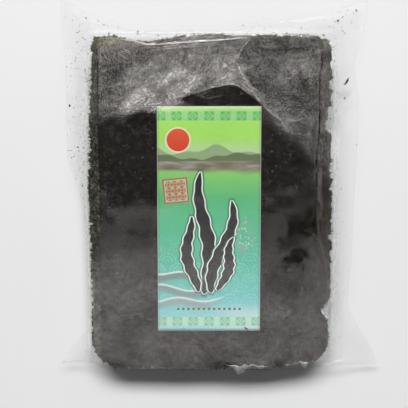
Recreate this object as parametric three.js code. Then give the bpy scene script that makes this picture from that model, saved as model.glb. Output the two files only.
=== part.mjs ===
// A clear sealed bag round a stack of dried nori sheets, lying on its back with the label side up.
// Millimetres, +Z up, +Y towards the bag's top edge, +X to the right of the label.
// The solid is the bag's outside: a block with a rounded rim where the film lies tight on the sheets,
// thin flat film beyond it, and four corners that flare into ears because a flat bag holds a thick block.

import * as THREE from "three";
import { mergeVertices } from "three/addons/utils/BufferGeometryUtils.js";

// The stack of sheets; the corners at its bottom edge are worn rounder than those at the top edge
const SHEET_WIDTH = 195;
const SHEET_LENGTH = 273;
const STACK_HEIGHT = 36;
const TOP_CORNER = 6;
const BOTTOM_CORNER = 16;

// The rounded rim of the stack: its height and how far in the rounding reaches, above and below
const TOP_RIM_DROP = 4;
const TOP_ROUNDING = 3.5;
const BOTTOM_RIM_RISE = 5;
const BOTTOM_ROUNDING = 7;

// The top face is slightly domed and falls away in two flat facets: along the bag's top edge and at its
// upper right corner. Each starts at a distance from the stack's middle in its own direction.
const TOP_CROWN = 0.6;
const FACET_SLOPE = Math.tan(THREE.MathUtils.degToRad(4.2));
const FACET_BEND = 6;
const FACETS = [
  { direction: new THREE.Vector2(-0.167, 0.986), start: 91 },
  { direction: new THREE.Vector2(0.83, 0.557), start: 81 },
];

// Reach of the free film beyond the sheets at stations along each side. A station's place is measured from
// the middle of the side: 1 is the sheets' corner and EAR is the tip of the bag's corner.
const EAR = 1.2;
const LEFT = [
  { place: -EAR, reach: 30 },
  { place: -1, reach: 28 },
  { place: -0.74, reach: 6 },
  { place: 0, reach: 8 },
  { place: 0.32, reach: 20 },
  { place: 0.75, reach: 21 },
  { place: EAR, reach: 25 },
];
const RIGHT = [
  { place: -EAR, reach: 47 },
  { place: -1, reach: 43 },
  { place: -0.6, reach: 18 },
  { place: -0.17, reach: 20 },
  { place: 0.6, reach: 24 },
  { place: 0.82, reach: 20 },
  { place: EAR, reach: 31 },
];
const TOP = [
  { place: -EAR, reach: 29 },
  { place: -0.9, reach: 13 },
  { place: -0.6, reach: 5 },
  { place: 0, reach: 5 },
  { place: 0.55, reach: 13 },
  { place: 1, reach: 22 },
  { place: EAR, reach: 29 },
];
const BOTTOM = [
  { place: -EAR, reach: 1 },
  { place: 0, reach: 5 },
  { place: EAR, reach: 3 },
];

// The film outside the stack: its thickness where both sheets meet, its height and its waves
const FILM_EDGE = 0.8;
const SEAM_HEIGHT = 15;
const EAR_DROOP = 6;
const TENT = 2.2;
const WAVE_HEIGHT = 1.3;
const WAVE_ACROSS = 31;
const WAVE_ALONG = 43;

// Grid lines of the film: over the sheets, and over the free film on each side
const COLUMNS = 26;
const ROWS = 36;
const MARGIN_LINES = 6;

const HALF_WIDTH = SHEET_WIDTH / 2;
const HALF_LENGTH = SHEET_LENGTH / 2;

const BAG_COLOUR = 0x2e2c29;
const BAG_ROUGHNESS = 0.3;

/** Splits a grid line's place, -1 to 1, into its share of the sheet and its share of the free film. */
function splitLine(place, inner) {
  const lines = inner / 2 + MARGIN_LINES;
  const line = Math.abs(place) * lines;
  const sheet = Math.sin((Math.min(1, line / (inner / 2)) * Math.PI) / 2);
  const film = Math.max(0, (line - inner / 2) / MARGIN_LINES);
  const side = Math.sign(place);
  return { side, sheet, film, place: side * (sheet + (EAR - 1) * film) };
}

/** How far the free film reaches at a place along a side, eased from each station to the next. */
function reach(stations, place) {
  const next = Math.max(1, stations.findIndex((station) => station.place >= place));
  const before = stations[next - 1];
  const after = stations[next];
  const share = THREE.MathUtils.smoothstep(place, before.place, after.place);
  return THREE.MathUtils.lerp(before.reach, after.reach, share);
}

/** Radius of the stack's corner on the half of the bag that a place along it belongs to. */
function cornerRadius(y) {
  return y > 0 ? TOP_CORNER : BOTTOM_CORNER;
}

/** A point of the sheets' rectangle, pulled in where it lies outside a round corner. */
function roundedCorner(point) {
  const radius = cornerRadius(point.y);
  const corner = new THREE.Vector2(
    Math.sign(point.x) * Math.min(Math.abs(point.x), HALF_WIDTH - radius),
    Math.sign(point.y) * Math.min(Math.abs(point.y), HALF_LENGTH - radius),
  );
  return point.clone().sub(corner).clampLength(0, radius).add(corner);
}

/** Distance to the sheets' outline with its round corners, negative inside. */
function outlineDistance(point) {
  const radius = cornerRadius(point.y);
  const across = Math.abs(point.x) - HALF_WIDTH + radius;
  const along = Math.abs(point.y) - HALF_LENGTH + radius;
  const outside = Math.hypot(Math.max(across, 0), Math.max(along, 0));
  return outside + Math.min(Math.max(across, along), 0) - radius;
}

/** One well inside the outline, falling along a quarter of an ellipse to zero at the outline. */
function rounding(distance, width) {
  const share = THREE.MathUtils.clamp(1 + distance / width, 0, 1);
  return Math.sqrt(1 - share * share);
}

/** How far a facet has fallen at a point, with a soft bend where it starts. */
function facetDrop(facet, point) {
  const beyond = point.dot(facet.direction) - facet.start;
  return (FACET_SLOPE * (beyond + Math.hypot(beyond, FACET_BEND))) / 2;
}

/** Height of the film over the stack. */
function topOfStack(point) {
  const crown = TOP_CROWN * ((point.x / HALF_WIDTH) ** 2 + (point.y / HALF_LENGTH) ** 2);
  const drop = Math.max(...FACETS.map((facet) => facetDrop(facet, point)));
  const rim = TOP_RIM_DROP * (1 - rounding(outlineDistance(point), TOP_ROUNDING));
  return STACK_HEIGHT - crown - drop - rim;
}

/** Height of the film under the stack, flat where the bag rests. */
function bottomOfStack(point) {
  return BOTTOM_RIM_RISE * (1 - rounding(outlineDistance(point), BOTTOM_ROUNDING));
}

/** Height of the seam, where the film over the stack meets the film under it. */
function seamHeight(x, y, droop) {
  const wave = Math.sin(x / WAVE_ACROSS * Math.PI) * Math.cos(y / WAVE_ALONG * Math.PI);
  return SEAM_HEIGHT - EAR_DROOP * droop + WAVE_HEIGHT * wave;
}

/** Moves a point of the plain block, each coordinate -1 to 1, to its place on the bag. */
function bagPoint(point) {
  const across = splitLine(point.x, COLUMNS);
  const along = splitLine(point.y, ROWS);
  const sideReach = reach(across.side > 0 ? RIGHT : LEFT, along.place);
  const endReach = reach(along.side > 0 ? TOP : BOTTOM, across.place);
  const square = new THREE.Vector2(
    across.side * HALF_WIDTH * across.sheet,
    along.side * HALF_LENGTH * along.sheet,
  );
  const onSheet = roundedCorner(square);
  // The round corner of the block turns into the square corner of the bag on the way out
  const start = onSheet.clone().lerp(square, Math.max(across.film, along.film));
  const x = start.x + across.side * sideReach * across.film;
  const y = start.y + along.side * endReach * along.film;

  const tent = ((1 - across.film) * (1 - along.film)) ** TENT;
  const seam = seamHeight(x, y, across.film * along.film);
  const stack = point.z > 0 ? topOfStack(onSheet) : bottomOfStack(onSheet);
  const edge = seam + (Math.sign(point.z) * FILM_EDGE) / 2;
  return new THREE.Vector3(x, y, THREE.MathUtils.lerp(edge, stack, tent));
}

/** The bag as one closed skin: a gridded block whose points are moved onto the film. */
function bagGeometry() {
  const columns = COLUMNS + 2 * MARGIN_LINES;
  const rows = ROWS + 2 * MARGIN_LINES;
  const block = new THREE.BoxGeometry(2, 2, 2, columns, rows, 1);
  block.deleteAttribute("normal");
  block.deleteAttribute("uv");
  const geometry = mergeVertices(block);
  const places = geometry.attributes.position;
  for (let index = 0; index < places.count; index += 1) {
    const moved = bagPoint(new THREE.Vector3().fromBufferAttribute(places, index));
    places.setXYZ(index, moved.x, moved.y, moved.z);
  }
  geometry.computeBoundingBox();
  const box = geometry.boundingBox;
  const middle = box.getCenter(new THREE.Vector3());
  geometry.translate(-middle.x, -middle.y, -box.min.z);
  geometry.computeVertexNormals();
  return geometry;
}

/** The bag's mesh, with the dark look of nori under glossy film. */
function bag() {
  const material = new THREE.MeshStandardMaterial({ color: BAG_COLOUR, roughness: BAG_ROUGHNESS, metalness: 0 });
  const mesh = new THREE.Mesh(bagGeometry(), material);
  mesh.name = "sealed_bag";
  return mesh;
}

const pack = new THREE.Group();
pack.name = "bagged_nori_sheets";
pack.add(bag());

export default pack;
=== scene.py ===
"""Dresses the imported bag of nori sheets: clear film, a stack of dried sheets, a paper label and loose crumbs.

Metres, +Z up, +Y towards the bag's top edge, +X to the right of the label. The bag lies on its back, and the
form of the film and of the block inside it repeats the solid that they replace.
"""

import logging
import math
from dataclasses import dataclass, field
from enum import Enum
from functools import cached_property

import bmesh
import bpy
import numpy as np
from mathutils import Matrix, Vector
from mathutils.bvhtree import BVHTree


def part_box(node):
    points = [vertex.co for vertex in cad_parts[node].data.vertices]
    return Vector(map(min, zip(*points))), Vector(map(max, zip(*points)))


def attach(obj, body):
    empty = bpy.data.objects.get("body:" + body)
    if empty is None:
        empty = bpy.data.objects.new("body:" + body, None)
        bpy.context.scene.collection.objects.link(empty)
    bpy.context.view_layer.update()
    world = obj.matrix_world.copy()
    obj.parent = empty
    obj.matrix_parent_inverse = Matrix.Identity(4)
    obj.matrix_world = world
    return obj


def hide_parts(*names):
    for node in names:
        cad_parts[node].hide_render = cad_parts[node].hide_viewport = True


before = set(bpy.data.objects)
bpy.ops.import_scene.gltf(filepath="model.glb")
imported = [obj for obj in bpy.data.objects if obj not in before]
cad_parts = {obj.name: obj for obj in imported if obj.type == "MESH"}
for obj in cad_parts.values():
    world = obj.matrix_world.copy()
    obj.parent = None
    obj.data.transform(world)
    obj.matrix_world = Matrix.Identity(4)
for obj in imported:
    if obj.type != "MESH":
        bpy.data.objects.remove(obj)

LOG = logging.getLogger("nori_bag")
BODY = "root"
BAG_NODE = "sealed_bag"
MM = 0.001
TINY = 1e-9
FILM_TINT = (0.985, 0.987, 0.985, 1.0)

Array = np.ndarray
Chance = np.random.Generator
Material = bpy.types.Material
Mesh = bpy.types.Mesh
Object = bpy.types.Object
Colour = tuple[float, float, float]
Point = tuple[float, float]


class Slot(Enum):
    """Material slots of the record, one handed along with each piece."""

    FILM = "film"
    NORI = "nori"
    LABEL = "label"


class Edge(Enum):
    """Parts of the free film that loose flakes lie in."""

    LEFT = "left"
    RIGHT = "right"
    TOP = "top"
    BOTTOM = "bottom"
    EAR = "ear"


class Noise:
    """Seeded smooth noise in two dimensions, about -1 to 1."""

    CELLS = 64

    def __init__(self, seed: int) -> None:
        """Draws the values at the corners of the noise's cells."""
        self.values = np.random.default_rng(seed).uniform(-1.0, 1.0, (self.CELLS, self.CELLS))

    def __call__(self, x: Array, y: Array, cell: float) -> Array:
        """Noise at points of a plane.

        Args:
            x: First coordinates.
            y: Second coordinates.
            cell: Size of one cell, in the same units.

        Returns:
            One value for each point.
        """
        x, y = np.asarray(x) / cell, np.asarray(y) / cell
        column, row = np.floor(x).astype(int), np.floor(y).astype(int)
        across, along = x - column, y - row
        across = across * across * (3.0 - 2.0 * across)
        along = along * along * (3.0 - 2.0 * along)
        low = self._at(column, row) * (1.0 - across) + self._at(column + 1, row) * across
        high = self._at(column, row + 1) * (1.0 - across) + self._at(column + 1, row + 1) * across
        return low * (1.0 - along) + high * along

    def _at(self, column: Array, row: Array) -> Array:
        """Values at corners of the cells."""
        return self.values[column % self.CELLS, row % self.CELLS]


def smooth_step(value: Array, low: Array | float, high: Array | float) -> Array:
    """Zero below low, one above high, smooth between."""
    share = np.clip((value - low) / (high - low), 0.0, 1.0)
    return share * share * (3.0 - 2.0 * share)


@dataclass(frozen=True)
class Grain:
    """One size of roughness: its depth and the size of its cells, in metres."""

    depth: float
    cell: float

    def at(self, noise: Noise, x: Array, y: Array) -> Array:
        """Its height at points of a plane, from a noise."""
        return self.depth * noise(x, y, self.cell)

    def above(self, noise: Noise, x: Array, y: Array, start: float) -> Array:
        """Its height at points of a plane where the noise lies above a start, and zero elsewhere."""
        return self.depth * np.maximum(0.0, noise(x, y, self.cell) - start)


class Wire:
    """A shader value that takes part in Python arithmetic; each operation adds one Math node."""

    def __init__(self, graph: "Graph", socket: bpy.types.NodeSocket) -> None:
        """Wraps an output socket of the graph."""
        self.graph = graph
        self.socket = socket

    def __add__(self, other: "Wire | float") -> "Wire":
        """Sum."""
        return self.graph.math("ADD", self, other)

    __radd__ = __add__

    def __sub__(self, other: "Wire | float") -> "Wire":
        """Difference."""
        return self.graph.math("SUBTRACT", self, other)

    def __rsub__(self, other: float) -> "Wire":
        """Difference from a number."""
        return self.graph.math("SUBTRACT", other, self)

    def __mul__(self, other: "Wire | float") -> "Wire":
        """Product."""
        return self.graph.math("MULTIPLY", self, other)

    __rmul__ = __mul__

    def __truediv__(self, other: "Wire | float") -> "Wire":
        """Quotient."""
        return self.graph.math("DIVIDE", self, other)

    def __rtruediv__(self, other: float) -> "Wire":
        """A number over this value."""
        return self.graph.math("DIVIDE", other, self)

    def __pow__(self, other: "Wire | float") -> "Wire":
        """Power."""
        return self.graph.math("POWER", self, other)

    def __abs__(self) -> "Wire":
        """Size without sign."""
        return self.graph.math("ABSOLUTE", self)

    def sine(self) -> "Wire":
        """Sine of an angle in radians."""
        return self.graph.math("SINE", self)

    def root(self) -> "Wire":
        """Square root."""
        return self.graph.math("SQRT", self)

    def floor(self) -> "Wire":
        """The next whole number below."""
        return self.graph.math("FLOOR", self)

    def wrapped(self, period: float) -> "Wire":
        """Distance to the nearest multiple of a period."""
        return self.graph.math("PINGPONG", self, period / 2)

    def least(self, other: "Wire | float") -> "Wire":
        """The smaller of two values."""
        return self.graph.math("MINIMUM", self, other)

    def most(self, other: "Wire | float") -> "Wire":
        """The larger of two values."""
        return self.graph.math("MAXIMUM", self, other)

    def rise(self, low: float, high: float) -> "Wire":
        """Zero at low, one at high, smooth between; high may lie below low."""
        settings = {"interpolation_type": "SMOOTHSTEP"}
        return self.graph.wire("MapRange", settings, {0: self, 1: low, 2: high})

    def swing(self, amount: float) -> "Wire":
        """One on average, for a value of 0 to 1: lower and higher by an amount."""
        return (1.0 - amount) + 2.0 * amount * self


class Graph:
    """The node tree of one material or of the sky."""

    MIX_A, MIX_B, MIX_RESULT = 6, 7, 2

    def __init__(self, owner: Material | bpy.types.World) -> None:
        """Starts an empty tree.

        Args:
            owner: What the tree belongs to.
        """
        self.owner = owner
        owner.use_nodes = True
        self.tree = owner.node_tree
        self.tree.nodes.clear()

    def node(self, kind: str, settings: dict | None = None, inputs: dict | None = None) -> bpy.types.Node:
        """Adds a node.

        Args:
            kind: The node's type, without the words ShaderNode in front.
            settings: Values of the node's own properties, set first; "stops" are a ramp's pairs of place
                and colour.
            inputs: Values or links of its sockets, by name or number.

        Returns:
            The node.
        """
        made = self.tree.nodes.new(f"ShaderNode{kind}")
        for name, value in (settings or {}).items():
            if name == "stops":
                self._set_stops(made.color_ramp, value)
            else:
                setattr(made, name, value)
        for key, value in (inputs or {}).items():
            if isinstance(value, Wire):
                self.tree.links.new(value.socket, made.inputs[key])
            else:
                made.inputs[key].default_value = value
        return made

    def wire(self, kind: str, settings: dict | None, inputs: dict | None, output: str | int = 0) -> Wire:
        """Adds a node and returns one of its outputs."""
        return Wire(self, self.node(kind, settings, inputs).outputs[output])

    @staticmethod
    def _set_stops(ramp: bpy.types.ColorRamp, stops: list[tuple[float, Colour]]) -> None:
        """Gives a ramp its stops.

        Args:
            ramp: The ramp.
            stops: Pairs of place and colour.
        """
        while len(ramp.elements) < len(stops):
            ramp.elements.new(1.0)
        for element, (place, colour) in zip(ramp.elements, stops):
            element.position = place
            element.color = (*colour, 1.0)

    def math(self, operation: str, *values: Wire | float) -> Wire:
        """Adds a Math node on one or two values."""
        return self.wire("Math", {"operation": operation}, dict(enumerate(values)))

    def place(self) -> Wire:
        """The piece's own Object coordinates."""
        return self.wire("TexCoord", None, None, "Object")

    def stretched(self, place: Wire, turn: float, length: float) -> Wire:
        """Coordinates for features that are drawn out by a length along a direction turned from Y."""
        inputs = {"Vector": place, "Rotation": (0.0, 0.0, turn), "Scale": (1.0, length, 1.0)}
        return self.wire("Mapping", {"vector_type": "TEXTURE"}, inputs)

    def noise(self, place: Wire, size: float, detail: float = 2.0, rough: float = 0.5) -> Wire:
        """Noise, 0 to 1, whose features have about the given size in metres."""
        inputs = {"Vector": place, "Scale": 1.0 / size, "Detail": detail, "Roughness": rough}
        return self.wire("TexNoise", None, inputs, "Fac")

    def flecks(self, place: Wire, size: float, reach: float, share: float) -> Wire:
        """Round flecks, one in each chosen cell of a random pattern.

        Args:
            place: Coordinates.
            size: Size of a cell in metres.
            reach: A fleck's radius as a share of its cell.
            share: How many of the cells hold a fleck.

        Returns:
            One inside a fleck, zero outside.
        """
        cell = self.node("TexVoronoi", None, {"Vector": place, "Scale": 1.0 / size})
        draw = self.wire("SeparateColor", None, {0: Wire(self, cell.outputs["Color"])})
        near = Wire(self, cell.outputs["Distance"]).rise(reach, reach * 0.5)
        return near * draw.rise(share + 0.01, share)

    def attribute(self, name: str) -> Wire:
        """A number stored on the mesh."""
        return self.wire("Attribute", {"attribute_name": name}, None, "Fac")

    def mix(self, under: Wire | Colour, over: Wire | Colour, mask: Wire | float) -> Wire:
        """One colour laid over another where the mask is one."""
        inputs = {0: mask, self.MIX_A: self._colour(under), self.MIX_B: self._colour(over)}
        return self.wire("Mix", {"data_type": "RGBA"}, inputs, self.MIX_RESULT)

    @staticmethod
    def _colour(value: Wire | Colour) -> Wire | tuple[float, ...]:
        """A colour as a socket takes it."""
        return value if isinstance(value, Wire) else (*value, 1.0)

    def ramp(self, value: Wire, stops: list[tuple[float, Colour]]) -> Wire:
        """A colour chosen by a value from 0 to 1."""
        return self.wire("ValToRGB", {"stops": stops}, {0: value})

    def bump(self, height: Wire, depth: float, strength: float = 1.0) -> Wire:
        """A normal from a height of 0 to 1 that stands for the given depth in metres."""
        return self.wire("Bump", None, {"Height": height, "Distance": depth, "Strength": strength})

    def principled(self, inputs: dict) -> Wire:
        """A Principled shader."""
        return self.wire("BsdfPrincipled", None, inputs)

    def finish(self, surface: Wire) -> Material:
        """Links the surface to the output and returns the material."""
        self.node("OutputMaterial", None, {"Surface": surface})
        return self.owner


def new_graph(name: str) -> Graph:
    """The empty node tree of a new material."""
    return Graph(bpy.data.materials.new(name))


@dataclass(frozen=True)
class FilmFinish:
    """Clear glossy film: mostly see-through, with the mirror share of both its faces.

    The mesh says where the film is free of the block, how strongly it reflects over the block (a painted
    reflection map of bright haze and dark zones), where it turns over the block's rim and its reflection is
    damped, where it clings to the rough front sheet and where a painted white glare lies beside the block.
    Where it clings, a whitish painted haze is added and the painted reflection breaks up into clouds, spots,
    specks and thin strands. Beside the block, the painted glare shows where the film is seen edge on.
    """

    mirror: float = 0.080
    # painted haze: where the film clings, a whitish, mostly diffuse layer that stands in for the hazy
    # reflection of the lamps; cling_metal sets how much of it still reflects like metal
    painted_haze: float = 0.075
    cling_metal: float = 0.20
    free_share: float = 0.24
    grazing: float = 0.9
    falloff: float = 5.0
    least: float = 0.02
    rim_calm: float = 0.92
    loose_roughness: float = 0.15
    cling_roughness: float = 0.10
    dent_depth: float = 0.14 * MM
    # colours of the painted haze and of the film's reflection, mixed by noise
    warm: Colour = (0.97, 0.915, 0.905)
    cool: Colour = (0.94, 0.93, 0.885)
    # painted glare: a white, mostly diffuse band over the film beside the block, strongest where the film is
    # seen edge on; it lightens the shadow on the floor under it
    painted_glare: float = 0.75
    painted_glare_slant: Point = (0.22, 0.72)
    painted_glare_white: tuple[float, ...] = (0.9, 0.9, 0.9, 1.0)

    def material(self) -> Material:
        """Builds the film's node tree.

        Returns:
            The material.
        """
        graph = new_graph("clear_film")
        place = graph.place()
        free = graph.attribute("free")
        cling = graph.attribute("cling")
        rim = 1.0 - self.rim_calm * graph.attribute("rim")
        grain = graph.noise(place, 1.6 * MM, 3.0, 0.6)
        dents = graph.noise(place, 9.0 * MM, 3.0, 0.55)
        tint = graph.noise(place, 15.0 * MM, 3.0, 0.55).rise(0.35, 0.65)
        smoother = self.loose_roughness - self.cling_roughness
        shader = graph.principled({
            "Base Color": graph.mix(self.warm, self.cool, tint),
            "Metallic": 1.0 - (1.0 - self.cling_metal) * cling,
            "Roughness": self.loose_roughness - smoother * cling.most(free),
            "Normal": graph.bump((grain * 0.5 + dents) * (0.2 + 0.8 * cling), self.dent_depth),
        })
        clear = graph.wire("BsdfTransparent", None, {"Color": FILM_TINT})
        slant = graph.wire("LayerWeight", None, {"Blend": 0.5}, "Facing")
        # painted light along fold lines: a highlight line where the stored value is positive, a dark line, as
        # of shade in a groove, where it is negative
        line = abs(graph.attribute("line_away")).rise(1.0, 0.3) * graph.attribute("painted_line_light")
        # painted reflection: the stored level of bright haze and dark zones, broken up where the film clings,
        # plus the painted fold lines; it scales the mirror share and the painted haze
        level = graph.attribute("painted_reflection") * self._painted_reflection_texture(graph, place, cling) + line
        level = level.most(self.least) * (1.0 - free)
        share = (self.mirror + self.painted_haze * cling) * level + self.mirror * self.free_share * free
        share = (share + (self.grazing - self.mirror) * slant ** self.falloff) * rim
        film = graph.wire("MixShader", None, {0: share, 1: clear, 2: shader})
        return graph.finish(self._with_painted_glare(graph, place, slant, film))

    def _with_painted_glare(self, graph: Graph, place: Wire, slant: Wire, film: Wire) -> Wire:
        """Lays a painted white glare over the film in a band beside the block, where the film is seen edge on,
        mottled by noise; it also lightens the shadow on the floor there.

        Args:
            graph: The material's tree.
            place: Object coordinates.
            slant: How far the film turns from the view, 0 to 1.
            film: The clear film.

        Returns:
            The shader.
        """
        glare_mottle = graph.noise(place, 9.0 * MM, 4.0, 0.62).rise(0.34, 0.64)
        painted_glare_share = self.painted_glare * graph.attribute("painted_glare_band") * slant.rise(*self.painted_glare_slant)
        amount = painted_glare_share * (0.35 + 0.65 * glare_mottle)
        white = graph.principled({
            "Base Color": self.painted_glare_white,
            "Roughness": 0.6,
            "Specular IOR Level": 0.1,
        })
        return graph.wire("MixShader", None, {0: amount, 1: film, 2: white})

    def _painted_reflection_texture(self, graph: Graph, place: Wire, cling: Wire) -> Wire:
        """Breaks up the painted reflection where the film clings into clouds, wisps, spots, specks, strands and
        painted glints, and leaves it nearly even where it lies loose.

        Args:
            graph: The material's tree.
            place: Object coordinates.
            cling: One where the film clings.

        Returns:
            The share of the painted reflection that is left, about 1.
        """
        axes = graph.node("SeparateXYZ", None, {0: place})
        right = Wire(graph, axes.outputs[0]).rise(8.0 * MM, 30.0 * MM)
        clouds = graph.noise(place, 26.0 * MM, 4.0, 0.60).rise(0.30, 0.70)
        sweep = graph.noise(graph.stretched(place, -1.2, 3.0), 9.0 * MM, 4.0, 0.58).rise(0.28, 0.72)
        slant = graph.noise(graph.stretched(place, -2.3, 3.0), 9.0 * MM, 4.0, 0.58).rise(0.28, 0.72)
        wisps = sweep + (slant - sweep) * right
        spots = graph.noise(place, 4.5 * MM, 4.0, 0.62).rise(0.30, 0.70)
        specks = graph.noise(place, 1.7 * MM, 2.0, 0.60).rise(0.30, 0.70)
        bright = self._strands(graph, place, 6.5 * MM)
        # fibre-like streaks where the painted reflection is brighter, and gaps where it is weaker
        fibre = graph.noise(graph.stretched(place, -1.2, 7.0), 1.5 * MM, 2.0, 0.5).rise(0.56, 0.70)
        cross = graph.noise(graph.stretched(place, 0.7, 6.0), 1.5 * MM, 2.0, 0.5).rise(0.58, 0.72)
        gaps = graph.noise(graph.stretched(place, -0.6, 4.0), 2.0 * MM, 2.0, 0.5).rise(0.42, 0.30)
        dark = self._strands(graph, graph.stretched(place, 0.9, 1.0), 11.0 * MM)
        # painted glints: small round flecks where the reflection is much brighter
        painted_glints = graph.flecks(place, 3.4 * MM, 0.17, 0.24)
        rough = clouds.swing(0.28) * wisps.swing(0.34) * spots.swing(0.22) * specks.swing(0.20)
        rough = rough * (1.0 + 0.35 * bright) * (1.0 - 0.30 * dark) * (1.0 + 0.90 * painted_glints)
        rough = rough * (1.0 + 0.60 * fibre.most(cross)) * (1.0 - 0.50 * gaps)
        pits = graph.flecks(place, 6.5 * MM, 0.15, 0.26)
        even = clouds.swing(0.22) * spots.swing(0.18) * specks.swing(0.14) * (1.0 - 0.60 * pits)
        even = even * (1.0 + 0.22 * fibre)
        return even + (rough - even) * cling

    @staticmethod
    def _strands(graph: Graph, place: Wire, size: float) -> Wire:
        """Thin bent strands, broken off where a second noise is low."""
        line = abs(graph.noise(place, size, 1.5, 0.6) - 0.5).rise(0.030, 0.010)
        return line * graph.noise(place, size * 1.3).rise(0.46, 0.60)


@dataclass(frozen=True)
class CloudyFilmFinish:
    """Crumpled film: many small creases scatter the light and turn it grey-white."""

    cover: float = 0.22
    spread: float = 0.60
    grey: tuple[float, ...] = (0.70, 0.70, 0.71, 1.0)
    crease_depth: float = 0.4 * MM

    def material(self) -> Material:
        """Builds the crumpled film's node tree.

        Returns:
            The material.
        """
        graph = new_graph("cloudy_film")
        place = graph.place()
        crease = graph.noise(graph.stretched(place, 0.8, 2.5), 2.2 * MM, 3.0, 0.6)
        inputs = {
            "Base Color": self.grey,
            "Specular IOR Level": 0.25,
            "Roughness": 0.35 + 0.2 * crease,
            "Normal": graph.bump(crease, self.crease_depth),
        }
        clear = graph.wire("BsdfTransparent", None, {"Color": FILM_TINT})
        share = self.cover + self.spread * crease.rise(0.40, 0.72)
        return graph.finish(graph.wire("MixShader", None, {0: share, 1: clear, 2: graph.principled(inputs)}))


@dataclass(frozen=True)
class NoriFinish:
    """Dried laver: near-black with brown and green tints, olive flecks, fibres, pale ragged edges and painted
    glints.
    """

    name: str = "nori"
    lift: float = 0.44
    edge: Colour = (0.195, 0.188, 0.145)
    olive: Colour = (0.25, 0.245, 0.115)
    fringe_power: float = 6.0
    relief: float = 0.9 * MM

    def material(self) -> Material:
        """Builds the sheets' node tree.

        Returns:
            The material.
        """
        graph = new_graph(self.name)
        place = graph.place()
        cloud = graph.noise(place, 24.0 * MM, 3.0, 0.6)
        mottle = graph.noise(place, 5.0 * MM, 4.0, 0.62)
        grain = graph.noise(place, 1.4 * MM, 3.0, 0.65)
        fibre = graph.noise(graph.stretched(place, 0.6, 4.5), 1.5 * MM, 3.0, 0.6).rise(0.62, 0.74)
        cross = graph.noise(graph.stretched(place, -1.0, 4.0), 1.7 * MM, 3.0, 0.6).rise(0.63, 0.75)
        third = graph.noise(graph.stretched(place, 2.0, 4.0), 1.4 * MM, 3.0, 0.6).rise(0.64, 0.76)
        weave = fibre.most(cross).most(third)

        base = graph.ramp(cloud, [
            (0.25, self._lifted((0.026, 0.016, 0.014))),
            (0.42, self._lifted((0.015, 0.011, 0.008))),
            (0.58, self._lifted((0.015, 0.014, 0.009))),
            (0.78, self._lifted((0.034, 0.022, 0.014))),
        ])
        base = graph.mix(base, self._lifted((0.004, 0.004, 0.003)), mottle.rise(0.54, 0.38))
        base = graph.mix(base, self._lifted((0.048, 0.040, 0.032)), mottle.rise(0.52, 0.68) * 0.8)
        base = graph.mix(base, self._lifted((0.120, 0.108, 0.082)), weave * 0.8)
        olive_flecks = graph.flecks(place, 5.5 * MM, 0.24, 0.22) * grain.rise(0.4, 0.6)
        base = graph.mix(base, (0.060, 0.064, 0.028), olive_flecks)
        base = graph.mix(base, (0.075, 0.052, 0.035), graph.flecks(place, 8.0 * MM, 0.15, 0.20))
        # pale flecks: partly pale specks of the laver, partly painted glints that stand in for its sparkle, as
        # its specular level is kept low
        pale_flecks_and_glints = graph.flecks(place, 5.0 * MM, 0.13, 0.26) * grain.rise(0.38, 0.52)
        base = graph.mix(base, (0.17, 0.16, 0.14), pale_flecks_and_glints)
        speckle = graph.noise(place, 1.3 * MM, 2.0, 0.6).rise(0.42, 0.66)
        patchy = 0.10 + 0.90 * speckle * mottle.rise(0.30, 0.60)
        worn = graph.attribute("fringe") ** self.fringe_power * patchy
        base = graph.mix(base, self.edge, worn)
        base = graph.mix(base, self.olive, graph.attribute("olive") * grain.rise(0.35, 0.62))
        height = mottle * 0.6 + grain * 0.3 + weave * 0.3
        shader = graph.principled({
            "Base Color": base,
            "Roughness": 0.66 + 0.25 * (grain - 0.5),
            "Specular IOR Level": 0.05,
            "Normal": graph.bump(height, self.relief, 1.0),
        })
        return graph.finish(shader)

    def _lifted(self, colour: Colour) -> Colour:
        """A colour made lighter by the finish's lift."""
        return tuple(channel * self.lift for channel in colour)


@dataclass(frozen=True)
class Frond:
    """One printed blade of seaweed; lengths are millimetres from the label's middle."""

    root: Point
    height: float
    half_width: float
    sway: float
    phase: float
    lean: float

    def away(self, x: Wire, y: Wire) -> tuple[Wire, Wire]:
        """Measures places of the label from the blade.

        Args:
            x: Places across the label.
            y: Places along it.

        Returns:
            Distance from the blade's outline, negative inside, and the share of the way up it.
        """
        share = (y - self.root[1] * MM) / (self.height * MM)
        kept = share.most(0.0).least(1.0)
        bend = self.sway * MM * (kept * 5.2 + self.phase).sine()
        middle = self.root[0] * MM + self.lean * self.height * MM * kept + bend * kept.root()
        frill = 1.0 + 0.13 * (kept * 42.0 + self.phase).sine()
        swell = (kept * (1.0 - kept) * 4.0).root() * (1.15 - 0.45 * kept)
        return abs(x - middle) - self.half_width * MM * swell * frill, share


class Ink:
    """A print as it is laid down, colour over colour, at places from the label's middle."""

    def __init__(self, graph: Graph, centre: Point) -> None:
        """Measures places from the label's centre, before anything is printed.

        Args:
            graph: The label's tree.
            centre: Its middle in the shared frame.
        """
        self.graph = graph
        self.place = graph.place()
        axes = graph.node("SeparateXYZ", None, {0: self.place})
        self.x = Wire(graph, axes.outputs[0]) - centre[0]
        self.y = Wire(graph, axes.outputs[1]) - centre[1]
        self.colour: Wire | Colour = (1.0, 1.0, 1.0)

    def lay(self, colour: Wire | Colour, mask: Wire) -> None:
        """Lays a colour over the print where the mask is one."""
        self.colour = self.graph.mix(self.colour, colour, mask)


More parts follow.
